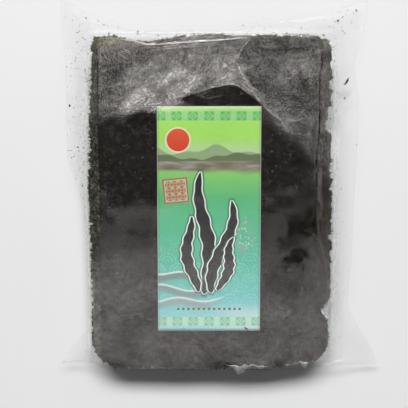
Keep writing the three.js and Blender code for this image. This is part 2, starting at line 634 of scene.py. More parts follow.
@dataclass(frozen=True)
class LabelFinish:
    """The label's print: a shore with a low sun, a sea that pales downwards and dark fronds edged in white.

    Places are metres from the label's middle.
    """

    centre: Point
    width: float
    length: float
    bare_rim: float = 0.45 * MM
    arc_period: float = 17.0 * MM
    arc_row: float = 8.5 * MM
    sun: Point = (-25.0 * MM, 65.0 * MM)
    sun_radius: float = 9.3 * MM
    sun_ring: float = 10.6 * MM
    rollers: tuple[tuple[float, float, float], ...] = (
        (-46.0, 0.10, 0.20),
        (-56.0, 0.04, 0.27),
        (-64.0, -0.05, 0.36),
    )
    lattice: Point = (-27.0 * MM, 24.0 * MM)
    lattice_turn: float = 0.10
    lattice_half: float = 9.6 * MM
    lattice_bars: float = 5.2 * MM
    spray: Point = (29.0 * MM, -14.0 * MM)
    spray_reach: Point = (9.0 * MM, 19.0 * MM)
    bead_row: float = -73.5 * MM
    bead_period: float = 4.2 * MM
    band_period: float = 13.0 * MM
    band_half: float = 3.7 * MM
    head: float = 3.4 * MM
    fronds: tuple[Frond, ...] = (
        Frond((-4.0, -61.0), 100.0, 5.6, 7.0, 0.3, 0.02),
        Frond((2.0, -60.0), 76.0, 5.0, -6.5, 0.9, 0.20),
        Frond((-9.0, -59.0), 62.0, 4.6, 6.0, 2.6, -0.18),
        Frond((7.0, -58.0), 44.0, 4.2, 5.0, 0.2, 0.38),
    )

    def material(self) -> Material:
        """Prints the label and builds its node tree.

        Returns:
            The material.
        """
        graph = new_graph("printed_label")
        ink = Ink(graph, self.centre)
        self._ground(ink)
        self._sea_arcs(ink)
        self._shore(ink)
        self._sun(ink)
        self._swell(ink)
        self._lattice(ink)
        self._fronds(ink)
        self._spray(ink)
        self._bands(ink)
        self._edge(ink)
        paper = graph.noise(ink.place, 1.5 * MM, 3.0)
        shader = graph.principled({
            "Base Color": ink.colour,
            "Roughness": 0.42 + 0.1 * (paper - 0.5),
            "Specular IOR Level": 0.25,
            "Normal": graph.bump(paper, 0.05 * MM),
        })
        return graph.finish(shader)

    def _ground(self, ink: Ink) -> None:
        """Lime at the top, then green, teal and a pale blue foot.

        Args:
            ink: The print so far.
        """
        ink.colour = ink.graph.ramp(ink.y / self.length + 0.5, [
            (0.02, (0.37, 0.71, 0.76)),
            (0.14, (0.17, 0.60, 0.58)),
            (0.34, (0.10, 0.52, 0.35)),
            (0.60, (0.11, 0.50, 0.20)),
            (0.80, (0.385, 0.79, 0.13)),
            (0.97, (0.44, 0.83, 0.14)),
        ])

    def _edge(self, ink: Ink) -> None:
        """The bare paper just inside the label's cut edge.

        Args:
            ink: The print so far.
        """
        inner = 0.6 * self.bare_rim
        across = abs(ink.x).rise(self.width / 2 - self.bare_rim, self.width / 2 - inner)
        along = abs(ink.y).rise(self.length / 2 - self.bare_rim, self.length / 2 - inner)
        ink.lay((0.80, 0.84, 0.78), across.most(along))

    def _sea_arcs(self, ink: Ink) -> None:
        """Faint rows of round wave arcs over the sea.

        Args:
            ink: The print so far.
        """
        line = (ink.y / self.arc_row).floor()
        local_y = ink.y - line * self.arc_row
        local_x = (ink.x + line * (self.arc_period / 2)).wrapped(self.arc_period)
        radius = (local_x * local_x + local_y * local_y).root()
        rings = radius.wrapped(2.7 * MM).rise(0.9 * MM, 1.2 * MM) * radius.rise(8.6 * MM, 8.2 * MM)
        ink.lay((0.42, 0.78, 0.66), rings * ink.y.rise(0.0, -40.0 * MM) * 0.45)

    def _shore(self, ink: Ink) -> None:
        """Mist, two lines of hills and a brown foreshore.

        Args:
            ink: The print so far.
        """
        graph, x, y = ink.graph, ink.x, ink.y
        haze = graph.noise(graph.stretched(ink.place, math.pi / 2, 4.0), 6.0 * MM, 3.0)
        mist = y.rise(46.0 * MM, 55.0 * MM) * y.rise(68.0 * MM, 56.0 * MM)
        ink.lay((0.60, 0.72, 0.50), mist * 0.6)
        far = 57.0 * MM + 3.0 * MM * (x / (9.0 * MM) + 1.0).sine() + 1.6 * MM * (x / (4.1 * MM)).sine()
        near = 52.0 * MM + 2.4 * MM * (x / (12.0 * MM) - 0.6).sine() + 0.8 * MM * (x / (2.9 * MM)).sine()
        floor = 41.0 * MM + 1.2 * MM * (x / (7.0 * MM)).sine()
        far_hills = (far - y).rise(-0.4 * MM, 0.6 * MM) * y.rise(40.0 * MM, 44.0 * MM)
        near_hills = (near - y).rise(-0.3 * MM, 0.4 * MM) * y.rise(39.0 * MM, 42.0 * MM)
        ink.lay((0.27, 0.38, 0.21), far_hills * 0.85)
        ink.lay((0.14, 0.19, 0.09), near_hills)
        ground = graph.mix((0.20, 0.16, 0.10), (0.42, 0.40, 0.34), haze.rise(0.35, 0.65))
        ink.lay(ground, (48.0 * MM - y).rise(-0.6 * MM, 0.8 * MM) * (y - floor).rise(-5.0 * MM, 4.0 * MM))

    def _sun(self, ink: Ink) -> None:
        """An orange-red sun with a pale ring, low over the hills on the left.

        Args:
            ink: The print so far.
        """
        across, along = ink.x - self.sun[0], ink.y - self.sun[1]
        radius = (across * across + along * along).root()
        ink.lay((0.86, 0.85, 0.62), radius.rise(self.sun_ring, self.sun_ring - 0.4 * MM))
        red = ink.graph.mix((0.72, 0.045, 0.015), (0.76, 0.11, 0.03), along / (18.0 * MM) + 0.5)
        ink.lay(red, radius.rise(self.sun_radius, self.sun_radius - 0.3 * MM))

    def _swell(self, ink: Ink) -> None:
        """Grey rollers with white crests at the foot of the sea, on the left, and foam under them.

        Args:
            ink: The print so far.
        """
        x, y = ink.x, ink.y
        for level, slope, grey in self.rollers:
            below = level * MM - slope * x + 2.2 * MM * (x / (7.5 * MM) + level).sine() - y
            body = below.rise(0.0, 0.4 * MM) * below.rise(9.0 * MM, 5.0 * MM) * x.rise(14.0 * MM, -6.0 * MM)
            crest = below.rise(-0.1 * MM, 0.3 * MM) * below.rise(2.0 * MM, 1.4 * MM)
            ink.lay((grey, grey * 1.12, grey * 1.1), body * 0.8)
            ink.lay((0.72, 0.80, 0.79), crest * x.rise(16.0 * MM, 4.0 * MM))
        foam = y.rise(-66.0 * MM, -80.0 * MM) * x.rise(-8.0 * MM, 30.0 * MM)
        ink.lay((0.70, 0.80, 0.77), foam * 0.6)

    def _lattice(self, ink: Ink) -> None:
        """A red window lattice in a square frame, on the left, slightly turned.

        Args:
            ink: The print so far.
        """
        cosine, sine = math.cos(self.lattice_turn), math.sin(self.lattice_turn)
        x, y = ink.x - self.lattice[0], ink.y - self.lattice[1]
        across, along = x * cosine + y * sine, y * cosine - x * sine
        size = abs(across).most(abs(along))
        frame_line = abs(size - self.lattice_half).rise(0.8 * MM, 0.5 * MM)
        inside = size.rise(8.2 * MM, 7.9 * MM)
        column, row = across.wrapped(self.lattice_bars), along.wrapped(self.lattice_bars)
        bars = column.least(row).rise(0.65 * MM, 0.40 * MM)
        corners = abs(column + row - 3.2 * MM).rise(0.55 * MM, 0.35 * MM)
        ink.lay((0.66, 0.62, 0.46), size.rise(10.6 * MM, 10.0 * MM) * 0.65)
        ink.lay((0.50, 0.075, 0.055), frame_line.most(inside * bars.most(corners)) * 0.85)

    def _spray(self, ink: Ink) -> None:
        """White spray beside the fronds, and a row of small dark beads under the sea.

        Args:
            ink: The print so far.
        """
        graph = ink.graph
        across = (ink.x - self.spray[0]) / self.spray_reach[0]
        along = (ink.y - self.spray[1]) / self.spray_reach[1]
        cloud = (across * across + along * along).rise(1.1, 0.2)
        grey = graph.noise(ink.place, 7.0 * MM, 3.0).rise(0.40, 0.60)
        ink.lay((0.30, 0.42, 0.38), cloud * grey * 0.6)
        ink.lay((0.76, 0.76, 0.72), cloud * graph.flecks(ink.place, 2.4 * MM, 0.34, 0.6))
        bead_x, bead_y = ink.x.wrapped(self.bead_period), ink.y - self.bead_row
        bead = (bead_x * bead_x + bead_y * bead_y).root().rise(1.15 * MM, 0.85 * MM)
        ink.lay((0.07, 0.055, 0.05), bead * abs(ink.x).rise(27.5 * MM, 27.0 * MM))

    def _fronds(self, ink: Ink) -> None:
        """Black fronds rising through the sea, each with a white edge and a dark green shade round it.

        Args:
            ink: The print so far.
        """
        for frond in self.fronds:
            away, share = frond.away(ink.x, ink.y)
            inside = share.rise(-0.010, -0.002) * share.rise(1.010, 1.002)
            halo = away.rise(2.6 * MM, 2.0 * MM) * share.rise(-0.04, -0.01) * share.rise(1.04, 1.01)
            ink.lay((0.010, 0.16, 0.085), halo * 0.75)
            ink.lay((0.86, 0.90, 0.86), away.rise(1.15 * MM, 0.95 * MM) * inside)
            ink.lay((0.012, 0.012, 0.011), away.rise(0.1 * MM, -0.1 * MM) * inside)

    def _bands(self, ink: Ink) -> None:
        """A row of plain lozenges across the head and the foot of the label.

        Args:
            ink: The print so far.
        """
        soft = 0.1 * MM
        for middle, ground, dark, pale in (
            (84.3 * MM, (0.20, 0.64, 0.32), (0.10, 0.54, 0.10), (0.36, 0.72, 0.26)),
            (-84.0 * MM, (0.36, 0.70, 0.54), (0.20, 0.56, 0.36), (0.52, 0.78, 0.60)),
        ):
            along = abs(ink.y - middle)
            across = ink.x.wrapped(self.band_period)
            strip = along.rise(self.band_half + soft, self.band_half - soft)
            post = self.band_period / 2 - across
            lozenge = across + along
            ink.lay(ground, strip)
            for colour, away, reach in (
                (pale, post, 2.3 * MM),
                (dark, across.most(along), 3.4 * MM),
                (pale, lozenge, 3.4 * MM),
                (dark, lozenge, 2.3 * MM),
                (pale, lozenge, 1.1 * MM),
            ):
                ink.lay(colour, strip * away.rise(reach + soft, reach - soft))
        head = self.length / 2 - self.head
        ink.lay((0.47, 0.72, 0.27), ink.y.rise(head, head + 4.0 * soft))


@dataclass(frozen=True)
class Side:
    """Reach of the free film beyond the sheets at stations along one side.

    A station's place is measured from the middle of the side: 1 is the sheets' corner, 1.2 the bag's corner.
    """

    stations: tuple[Point, ...]

    def at(self, place: Array) -> Array:
        """Reach of the film, eased from each station to the next.

        Args:
            place: Places along the side, from its middle.

        Returns:
            Reaches in metres.
        """
        places, reaches = np.array(self.stations).T
        after = np.clip(np.searchsorted(places, place), 1, len(places) - 1)
        share = smooth_step(place, places[after - 1], places[after])
        return MM * (reaches[after - 1] + (reaches[after] - reaches[after - 1]) * share)

    def widest(self) -> float:
        """The largest reach, in metres."""
        return MM * max(reach for _, reach in self.stations)


@dataclass(frozen=True)
class Form:
    """The bag's form, close to the solid: a block of sheets with a rounded rim and free film beyond it."""

    half_width: float = 98.7 * MM
    half_length: float = 137.7 * MM
    looseness: float = 1.2 * MM
    height: float = 36.0 * MM
    top_corner: float = 6.0 * MM
    bottom_corner: float = 16.0 * MM
    rim_drop: float = 2.0 * MM
    top_rounding: float = 1.2 * MM
    rim_rise: float = 5.0 * MM
    bottom_rounding: float = 7.0 * MM
    crown: float = 0.6 * MM
    facet_slope: float = math.tan(math.radians(4.2))
    facet_bend: float = 4.0 * MM
    facets: tuple[tuple[float, float, float], ...] = ((-0.167, 0.986, 83.0 * MM), (0.70, 0.714, 87.0 * MM))
    ear: float = 1.2
    left: Side = Side(((-1.2, 30), (-1, 28), (-0.74, 6), (0, 8), (0.32, 20), (0.75, 21), (1.2, 25)))
    right: Side = Side(((-1.2, 47), (-1, 43), (-0.6, 18), (-0.17, 20), (0.6, 24), (0.82, 20), (1.2, 31)))
    top: Side = Side(((-1.2, 29), (-0.9, 13), (-0.6, 5), (0, 5), (0.55, 13), (1, 22), (1.2, 29)))
    bottom: Side = Side(((-1.2, 1), (0, 5), (1.2, 3)))
    left_bulge: tuple[float, float, float] = (-1.7 * MM, 15.0 * MM, 50.0 * MM)
    right_bulge: tuple[float, float, float] = (1.4 * MM, -15.0 * MM, 60.0 * MM)
    bulge_power: float = 6.0

    @cached_property
    def centre(self) -> Point:
        """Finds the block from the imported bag's lowest corner.

        Returns:
            Its middle in the shared frame.
        """
        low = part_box(BAG_NODE)[0]
        across = self.left.widest() + self.half_width - self.looseness
        along = self.bottom.widest() + self.half_length - self.looseness
        return low[0] + across, low[1] + along

    def bulge(self, x: Array, y: Array) -> Array:
        """Moves the block's sides out along their middle.

        Args:
            x: Places across the plan.
            y: Places along it.

        Returns:
            How far each point moves.
        """
        left, right = (
            reach * np.exp(-(((y - middle) / spread) ** 2))
            for reach, middle, spread in (self.left_bulge, self.right_bulge)
        )
        return np.where(x < 0, left, right) * np.minimum(1.0, np.abs(x) / self.half_width) ** self.bulge_power

    def corner(self, y: Array) -> Array:
        """Radius of the block's corner on the half of the bag that a place along it belongs to."""
        return np.where(np.asarray(y) > 0, self.top_corner, self.bottom_corner)

    def outline_distance(self, x: Array, y: Array) -> Array:
        """Measures points from the block's outline with its round corners.

        Args:
            x: Places across the plan.
            y: Places along it.

        Returns:
            Metres, negative inside.
        """
        corner = self.corner(y)
        across = np.abs(x) - self.half_width + corner
        along = np.abs(y) - self.half_length + corner
        outside = np.hypot(np.maximum(across, 0.0), np.maximum(along, 0.0))
        return outside + np.minimum(np.maximum(across, along), 0.0) - corner

    @staticmethod
    def rounding(distance: Array, width: float) -> Array:
        """One well inside the outline, falling along a quarter of an ellipse to zero at the outline."""
        share = np.clip(1.0 + distance / width, 0.0, 1.0)
        return np.sqrt(1.0 - share * share)

    def beyond_facet(self, x: Array, y: Array) -> list[Array]:
        """How far points of the plan lie beyond the start of each facet."""
        return [across * x + along * y - start for across, along, start in self.facets]

    def face(self, x: Array, y: Array) -> Array:
        """Height of the top face before the rim is rounded.

        Args:
            x: Places across the plan.
            y: Places along it.

        Returns:
            Heights in metres.
        """
        crown = self.crown * ((x / self.half_width) ** 2 + (y / self.half_length) ** 2)
        drops = [0.5 * (value + np.hypot(value, self.facet_bend)) for value in self.beyond_facet(x, y)]
        return self.height - crown - self.facet_slope * np.maximum(*drops)

    def top_of_block(self, x: Array, y: Array) -> Array:
        """Height of the block with its rounded rim."""
        rounded = self.rounding(self.outline_distance(x, y), self.top_rounding)
        return self.face(x, y) - self.rim_drop * (1.0 - rounded)

    def bottom_of_block(self, x: Array, y: Array) -> Array:
        """Height of the block's underside, flat where it rests."""
        rounded = self.rounding(self.outline_distance(x, y), self.bottom_rounding)
        return self.rim_rise * (1.0 - rounded)

    def inset(self, height: float) -> float:
        """How far the block's side lies inside its outline.

        Args:
            height: Height above the floor.

        Returns:
            Metres.
        """
        upper = min(1.0, max(0.0, (height - self.height + self.rim_drop) / self.rim_drop))
        lower = min(1.0, max(0.0, (self.rim_rise - height) / self.rim_rise))
        top = self.top_rounding * (1.0 - math.sqrt(1.0 - upper * upper))
        return top + self.bottom_rounding * (1.0 - math.sqrt(1.0 - lower * lower))

    def placed(self, x: Array, y: Array, z: Array) -> Array:
        """Points in the shared frame, one row each, from places of the block's plan and heights."""
        return np.stack([x + self.centre[0], y + self.centre[1], z], axis=1)

    def plan(self, points: Array) -> tuple[Array, Array]:
        """Places of points in the block's plan."""
        return points[:, 0] - self.centre[0], points[:, 1] - self.centre[1]


@dataclass(frozen=True)
class Outline:
    """The plan of a sheet: a rectangle with round corners, turned and set off from the block's middle."""

    middle: Point
    half: Point
    turn: float
    top_corner: float
    bottom_corner: float

    def edge(self, angle: Array) -> tuple[Array, Array]:
        """Points of the sheet's outline.

        Args:
            angle: Angles round the sheet.

        Returns:
            Places in the block's plan and their outward directions.
        """
        ray = np.stack([np.cos(angle), np.sin(angle)], axis=1)
        square = ray / np.max(np.abs(ray), axis=1, keepdims=True) * np.array(self.half)
        corner, core = self._core(square)
        away = square - core
        length = np.maximum(np.linalg.norm(away, axis=1, keepdims=True), TINY)
        outward = away / length
        points = core + outward * np.minimum(length, corner)
        return self._turned(points) + np.array(self.middle), self._turned(outward)

    def filled(self, place: Array) -> tuple[Array, Array]:
        """Points all over the sheet.

        Args:
            place: Places of -1 to 1, one row each.

        Returns:
            Places in the block's plan and the way in from the nearest side.
        """
        plan = place * np.array(self.half)
        core = self._core(plan)[1]
        away = plan - core
        length = np.maximum(np.linalg.norm(away, axis=1, keepdims=True), TINY)
        limit = np.max(np.abs(away), axis=1, keepdims=True)
        nearest = np.abs(place) >= np.max(np.abs(place), axis=1, keepdims=True)
        inward = -np.where(nearest, np.sign(place), 0.0)
        return self._turned(core + away / length * limit) + np.array(self.middle), self._turned(inward)

    def _core(self, square: Array) -> tuple[Array, Array]:
        """Radius of the nearest corner, and the nearest places that lie no further out than its middle."""
        corner = np.where(square[:, 1:] > 0, self.top_corner, self.bottom_corner)
        return corner, np.sign(square) * np.minimum(np.abs(square), np.array(self.half) - corner)

    def distance(self, x: Array, y: Array) -> Array:
        """Measures points from the sheet's straight sides.

        Args:
            x: Places across the plan.
            y: Places along it.

        Returns:
            Metres, negative inside.
        """
        x, y = x - self.middle[0], y - self.middle[1]
        cosine, sine = math.cos(self.turn), math.sin(self.turn)
        across = np.abs(x * cosine + y * sine) - self.half[0]
        along = np.abs(y * cosine - x * sine) - self.half[1]
        return np.maximum(across, along)

    def _turned(self, points: Array) -> Array:
        """Turns points or directions with the sheet.

        Args:
            points: One row each.

        Returns:
            The turned rows.
        """
        cosine, sine = math.cos(self.turn), math.sin(self.turn)
        x, y = points[:, 0], points[:, 1]
        return np.stack([x * cosine - y * sine, x * sine + y * cosine], axis=1)


class Pieces:
    """Makes meshes and hands finished pieces to the frame."""

    @staticmethod
    def add(name: str, mesh: Mesh, material: Material, slot: Slot) -> Object:
        """Puts a mesh in the scene as a piece of the bag.

        Args:
            name: The piece's name.
            mesh: Its mesh, in the shared frame.
            material: Its finish.
            slot: The record's material slot; not used.

        Returns:
            The piece.
        """
        mesh.materials.append(material)
        mesh.name = name
        piece = bpy.data.objects.new(name, mesh)
        bpy.context.scene.collection.objects.link(piece)
        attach(piece, BODY)
        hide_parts(BAG_NODE)
        LOG.info("%s: %d faces", name, len(mesh.polygons))
        return piece

    @staticmethod
    def slab(columns: int, rows: int) -> Mesh:
        """A flat gridded slab, -1 to 1 across and along, 0 at the top and -1 below.

        Args:
            columns: Faces across.
            rows: Faces along.

        Returns:
            The mesh.
        """
        bm = bmesh.new()
        bmesh.ops.create_grid(bm, x_segments=columns, y_segments=rows, size=1.0)
        bmesh.ops.solidify(bm, geom=bm.faces[:], thickness=1.0)
        return Pieces.mesh(bm)

    @staticmethod
    def disc(sides: int, ring: float) -> Mesh:
        """A flat disc of radius 1 with an inner ring, 0 at the top and -1 below.

        Args:
            sides: Points round it.
            ring: Width of the outer ring.

        Returns:
            The mesh.
        """
        bm = bmesh.new()
        bmesh.ops.create_circle(bm, cap_ends=True, segments=sides, radius=1.0)
        bmesh.ops.inset_individual(bm, faces=bm.faces[:], thickness=ring, use_even_offset=True)
        bmesh.ops.solidify(bm, geom=bm.faces[:], thickness=1.0)
        return Pieces.mesh(bm)

    @staticmethod
    def mesh(bm: bmesh.types.BMesh) -> Mesh:
        """Turns a bmesh into a smooth-shaded mesh and frees it.

        Args:
            bm: The bmesh.

        Returns:
            The mesh.
        """
        made = bpy.data.meshes.new("mesh")
        bm.to_mesh(made)
        bm.free()
        made.polygons.foreach_set("use_smooth", [True] * len(made.polygons))
        return made

    @staticmethod
    def copies(template: Mesh, places: list[Array]) -> Mesh:
        """Joins many copies of a template.

        Args:
            template: The mesh to copy.
            places: The points of each copy.

        Returns:
            One flat-shaded mesh.
        """
        count = len(template.vertices)
        faces = [tuple(face.vertices) for face in template.polygons]
        starts = range(0, count * len(places), count)
        joined = [tuple(corner + start for corner in face) for start in starts for face in faces]
        made = bpy.data.meshes.new("mesh")
        made.from_pydata(np.concatenate(places).tolist(), [], joined)
        return made

    @staticmethod
    def points(mesh: Mesh) -> Array:
        """Reads a mesh's points.

        Args:
            mesh: The mesh.

        Returns:
            One row each.
        """
        flat = np.empty(len(mesh.vertices) * 3, dtype=np.float32)
        mesh.vertices.foreach_get("co", flat)
        return flat.reshape(-1, 3).astype(float)

    @staticmethod
    def move(mesh: Mesh, points: Array) -> None:
        """Moves a mesh's points."""
        mesh.vertices.foreach_set("co", np.ascontiguousarray(points, dtype=np.float32).ravel())
        mesh.update()

    @staticmethod
    def store(mesh: Mesh, name: str, values: Array) -> None:
        """Stores a number on each point of a mesh."""
        layer = mesh.attributes.new(name, "FLOAT", "POINT")
        layer.data.foreach_set("value", np.ascontiguousarray(values, dtype=np.float32))


@dataclass(frozen=True)
class Crease:
    """A fold in the film along a line of points: a soft ridge, or a groove where its height is negative.

    Places and sizes are millimetres in the block's plan. Its painted light is added to the film's painted
    reflection
    along a thin line: a highlight line where it is positive, a dark line, as of shade in a groove, where it is
    negative. The fold and its painted light fade out over a share of the fold's length at each end.
    """

    path: tuple[Point, ...]
    height: float
    half_width: float
    painted_light: float = 0.0
    fade: float = 0.2
    line: float = 0.7

    def nearest(self, x: Array, y: Array) -> tuple[Array, Array]:
        """Measures points from the fold's line.

        Args:
            x: Places across the plan.
            y: Places along it.

        Returns:
            Distance with a sign for the side, and the fold's strength there, which fades at its ends.
        """
        knots = np.array(self.path) * MM
        lengths = np.linalg.norm(np.diff(knots, axis=0), axis=1)
        starts = np.concatenate([[0.0], np.cumsum(lengths)])
        nearest = np.full(np.shape(x), np.inf)
        along = np.zeros(np.shape(x))
        for first, last, start, length in zip(knots, knots[1:], starts, lengths):
            run = (last - first) / length
            share = np.clip((x - first[0]) * run[0] + (y - first[1]) * run[1], 0.0, length)
            off_x, off_y = x - first[0] - share * run[0], y - first[1] - share * run[1]
            away = np.hypot(off_x, off_y) * np.where(run[0] * off_y < run[1] * off_x, -1.0, 1.0)
            closer = np.abs(away) < np.abs(nearest)
            along = np.where(closer, start + share, along)
            nearest = np.where(closer, away, nearest)
        return nearest, smooth_step(np.minimum(along, starts[-1] - along), 0.0, self.fade * starts[-1])

    def profile(self, x: Array, y: Array) -> Array:
        """One on the fold, zero beside it, at points of the plan, fading towards both ends."""
        away, ends = self.nearest(x, y)
        return ends * (0.5 + 0.5 * np.cos(math.pi * np.minimum(1.0, np.abs(away) / (self.half_width * MM))))

    def lift(self, x: Array, y: Array) -> Array:
        """Height of the fold at points of the plan, in metres."""
        return self.height * MM * self.profile(x, y)


@dataclass(frozen=True)
class Patch:
    """A patch of the plan where the film's painted reflection is stronger or weaker; millimetres in the block's
    plan.

    A power of 1 gives a soft patch, a larger one an even patch with a clear edge.
    """

    middle: Point
    reach: Point
    gain: float
    turn: float = 0.0
    power: float = 1.0

    def amount(self, x: Array, y: Array) -> Array:
        """The patch's gain, which fades outwards.

        Args:
            x: Places across the plan.
            y: Places along it.

        Returns:
            One gain for each point.
        """
        x, y = x / MM - self.middle[0], y / MM - self.middle[1]
        across = (x * math.cos(self.turn) + y * math.sin(self.turn)) / self.reach[0]
        along = (y * math.cos(self.turn) - x * math.sin(self.turn)) / self.reach[1]
        return self.gain * np.exp(-((across * across + along * along) ** self.power))


@dataclass(frozen=True)
class Region:
    """An area of the plan, by its corners in millimetres, where the film's painted reflection is stronger or
    weaker.
    """

    corners: tuple[Point, ...]
    gain: float
    soft: float
    warp: float = 0.4

    def amount(self, x: Array, y: Array) -> Array:
        """The area's gain, with a soft edge.

        Args:
            x: Places across the plan.
            y: Places along it.

        Returns:
            One gain for each point.
        """
        corners = np.array(self.corners, dtype=float) * MM
        nearest = np.full(np.shape(x), np.inf)
        inside = np.zeros(np.shape(x), dtype=bool)
        for first, last in zip(corners, np.roll(corners, -1, axis=0)):
            run = last - first
            share = np.clip(((x - first[0]) * run[0] + (y - first[1]) * run[1]) / (run @ run), 0.0, 1.0)
            off_x, off_y = x - first[0] - share * run[0], y - first[1] - share * run[1]
            nearest = np.minimum(nearest, np.hypot(off_x, off_y))
            crossing = first[0] + (y - first[1]) * run[0] / (run[1] or 1.0)
            inside ^= ((first[1] > y) != (last[1] > y)) & (x < crossing)
        within = np.where(inside, nearest, -nearest)
        return self.gain * smooth_step(within, -self.soft * MM, self.soft * MM)


@dataclass(frozen=True)
class Nibble:
    """A piece missing from the sheets' edge; millimetres in the block's plan.

    A steepness of 1 gives a pointed notch, a larger one a flat-bottomed step.
    """

    middle: Point
    reach: Point
    depth: float
    steepness: float

    def bite(self, points: Array) -> Array:
        """How deep the edge is bitten in at points of the outline, in metres."""
        away = np.linalg.norm((points / MM - np.array(self.middle)) / np.array(self.reach), axis=1)
        return self.depth * MM * np.clip((1.0 - away) * self.steepness, 0.0, 1.0)


@dataclass
class NoriStack:
    """The stack of dried sheets: thin ragged slabs, with a smaller bundle and a rough cover sheet on top."""

    form: Form
    lower: tuple[int, int] = (60, 280)
    middle: tuple[int, int] = (8, 700)
    edge: tuple[int, int] = (5, 2600)
    upper: tuple[int, int] = (5, 2200)
    levels: tuple[float, ...] = (0.012, 0.76, 0.85, 0.915, 0.985)
    strip: float = 11.0 * MM
    clear: float = 0.9 * MM
    side_clear: float = 1.7 * MM
    lower_clear: float = 1.6 * MM
    thickness: float = 0.26 * MM
    over: float = 1.1 * MM
    bundle: Outline = Outline(
        (-4.8 * MM, -0.3 * MM), (91.8 * MM, 135.8 * MM), math.radians(-0.3), 5.0 * MM, 17.0 * MM,
    )
    swing: float = 9.6 * MM
    swing_from: tuple[Point, Point] = ((55.0 * MM, 75.0 * MM), (10.0 * MM, 70.0 * MM))
    bundle_from: float = 33.0 * MM
    step: float = 0.9 * MM
    corner: Point = (5.5 * MM, 17.0 * MM)
    cover_grid: tuple[int, int] = (132, 182)
    cover_shares: Point = (0.03, 0.99)
    cover_lowest: float = 0.3 * MM
    tear_power: int = 24
    back_bumps: float = 0.4
    nibbles: tuple[Nibble, ...] = (
        Nibble((97.0, 70.0), (11.0, 11.0), 3.6, 5.0),
        Nibble((98.0, -87.5), (9.5, 9.5), 8.5, 1.0),
        Nibble((94.0, 135.0), (10.0, 10.0), 3.0, 2.0),
        Nibble((-96.0, 48.0), (6.0, 6.0), 1.2, 2.0),
        Nibble((97.0, 97.0), (4.0, 4.0), 2.2, 2.0),
        Nibble((92.0, -136.0), (45.0, 20.0), 7.0, 1.0),
        Nibble((-92.0, -133.0), (16.0, 16.0), 3.6, 1.0),
        Nibble((-50.0, 136.0), (40.0, 12.0), 3.0, 1.0),
        Nibble((-53.0, 136.0), (24.0, 12.0), 3.2, 1.2),
        Nibble((-97.0, 132.0), (18.0, 46.0), 1.8, 1.5),
    )
    swell: Grain = Grain(0.30 * MM, 21.0 * MM)
    ripple: Grain = Grain(0.20 * MM, 8.0 * MM)
    pucker: Grain = Grain(0.13 * MM, 3.4 * MM)
    flutter: Grain = Grain(0.30 * MM, 13.0 * MM)
    dent: Grain = Grain(0.6 * MM, 11.0 * MM)
    tear: Grain = Grain(1.5 * MM, 2.6 * MM)
    tooth: Grain = Grain(2.1 * MM, 1.1 * MM)
    fray: Grain = Grain(0.10 * MM, 2.0 * MM)
    own_tear: Grain = Grain(1.5 * MM, 6.0 * MM)
    lowest: float = 0.4 * MM
    fibre_count: int = 2000
    fibre_level: Point = (0.80, 0.97)
    fibre_length: Point = (1.0 * MM, 2.6 * MM)
    fibre_width: Point = (0.22 * MM, 0.50 * MM)
    fibre_rise: Point = (-0.3, 0.2)
    fibre_root: float = 0.5 * MM
    fibre_thickness: float = 0.1 * MM
    pale_fibres: tuple[Point, Point] = ((80.0 * MM, 90.0 * MM), (-66.0 * MM, 26.0 * MM))
    olive_corner: Patch = Patch((-82.0, 132.0), (11.0, 5.0), 1.0)
    olive_top: tuple[Point, Point] = ((30.0 * MM, 50.0 * MM), (128.0 * MM, 134.0 * MM))
    olive_side: tuple[Point, ...] = (
        (92.0 * MM, 95.5 * MM),
        (40.0 * MM, 60.0 * MM),
        (110.0 * MM, 90.0 * MM),
    )
    pale_strip: Point = (89.4 * MM, 90.4 * MM)
    seed: int = 5
    noise: tuple[Noise, ...] = field(default_factory=lambda: tuple(Noise(70 + number) for number in range(8)))

    def build(self) -> None:
        """Makes the stack's pieces, in place."""
        finish = NoriFinish().material()
        draw = np.random.default_rng(self.seed)
        runs = (("lower", self.lower), ("middle", self.middle), ("edge", self.edge), ("upper", self.upper))
        for (name, (count, points_round)), low, high in zip(runs, self.levels, self.levels[1:]):
            shares = np.linspace(low, high, count, endpoint=name == "upper")
            Pieces.add(f"nori_{name}_sheets", self._sheets(shares, points_round, draw), finish, Slot.NORI)
        Pieces.add("nori_fibres", self._fibres(draw), finish, Slot.NORI)
        Pieces.add("nori_front_sheet", self._cover(True), finish, Slot.NORI)
        Pieces.add("nori_back_sheet", self._cover(False), finish, Slot.NORI)

    def surface(self, x: Array, y: Array) -> Array:
        """Height of the front sheet without its roughness, at points of the block's plan."""
        return self.form.face(x, y) - self.clear

    def bumps(self, x: Array, y: Array) -> Array:
        """The larger bumps of the dried front sheet, in metres."""
        return self.swell.at(self.noise[0], x, y) + self.ripple.at(self.noise[1], x, y)

    def beyond_bundle(self, x: Array, y: Array) -> Array:
        """Distance beyond the uneven edge of the top bundle, negative over it."""
        uneven = 1.1 * self.noise[4](x, y, 15.0 * MM) + 0.6 * self.noise[1](x, y, 5.0 * MM)
        return self.bundle.distance(x, y) + MM * uneven - self._swung(x, y)

    def _swung(self, x: Array, y: Array) -> Array:
        """How far the right edge of the top bundle swings out, towards the bottom of the stack."""
        right, below = self.swing_from
        return self.swing * smooth_step(x, *right) * smooth_step(-y, *below)

    def _sheets(self, shares: Array, points_round: int, draw: Chance) -> Mesh:
        """A run of sheets as one mesh.

        Args:
            shares: The height of each sheet in the stack, 0 to 1.
            points_round: How many points a sheet's edge has.
            draw: Source of chance.

        Returns:
            The mesh, with its worn edges stored on it.
        """
        template = Pieces.disc(points_round, 0.1)
        flat = Pieces.points(template)
        rim = np.hypot(flat[:, 0], flat[:, 1]) > 0.96
        places = [self._sheet_points(flat, rim, share, draw) for share in shares]
        mesh = Pieces.copies(template, places)
        outer = np.tile(rim, len(shares))
        own = np.repeat(draw.uniform(0.75, 1.0, len(shares)), len(flat))
        self._store_edges(mesh, np.concatenate(places), np.where(outer, own, 0.0))
        return mesh

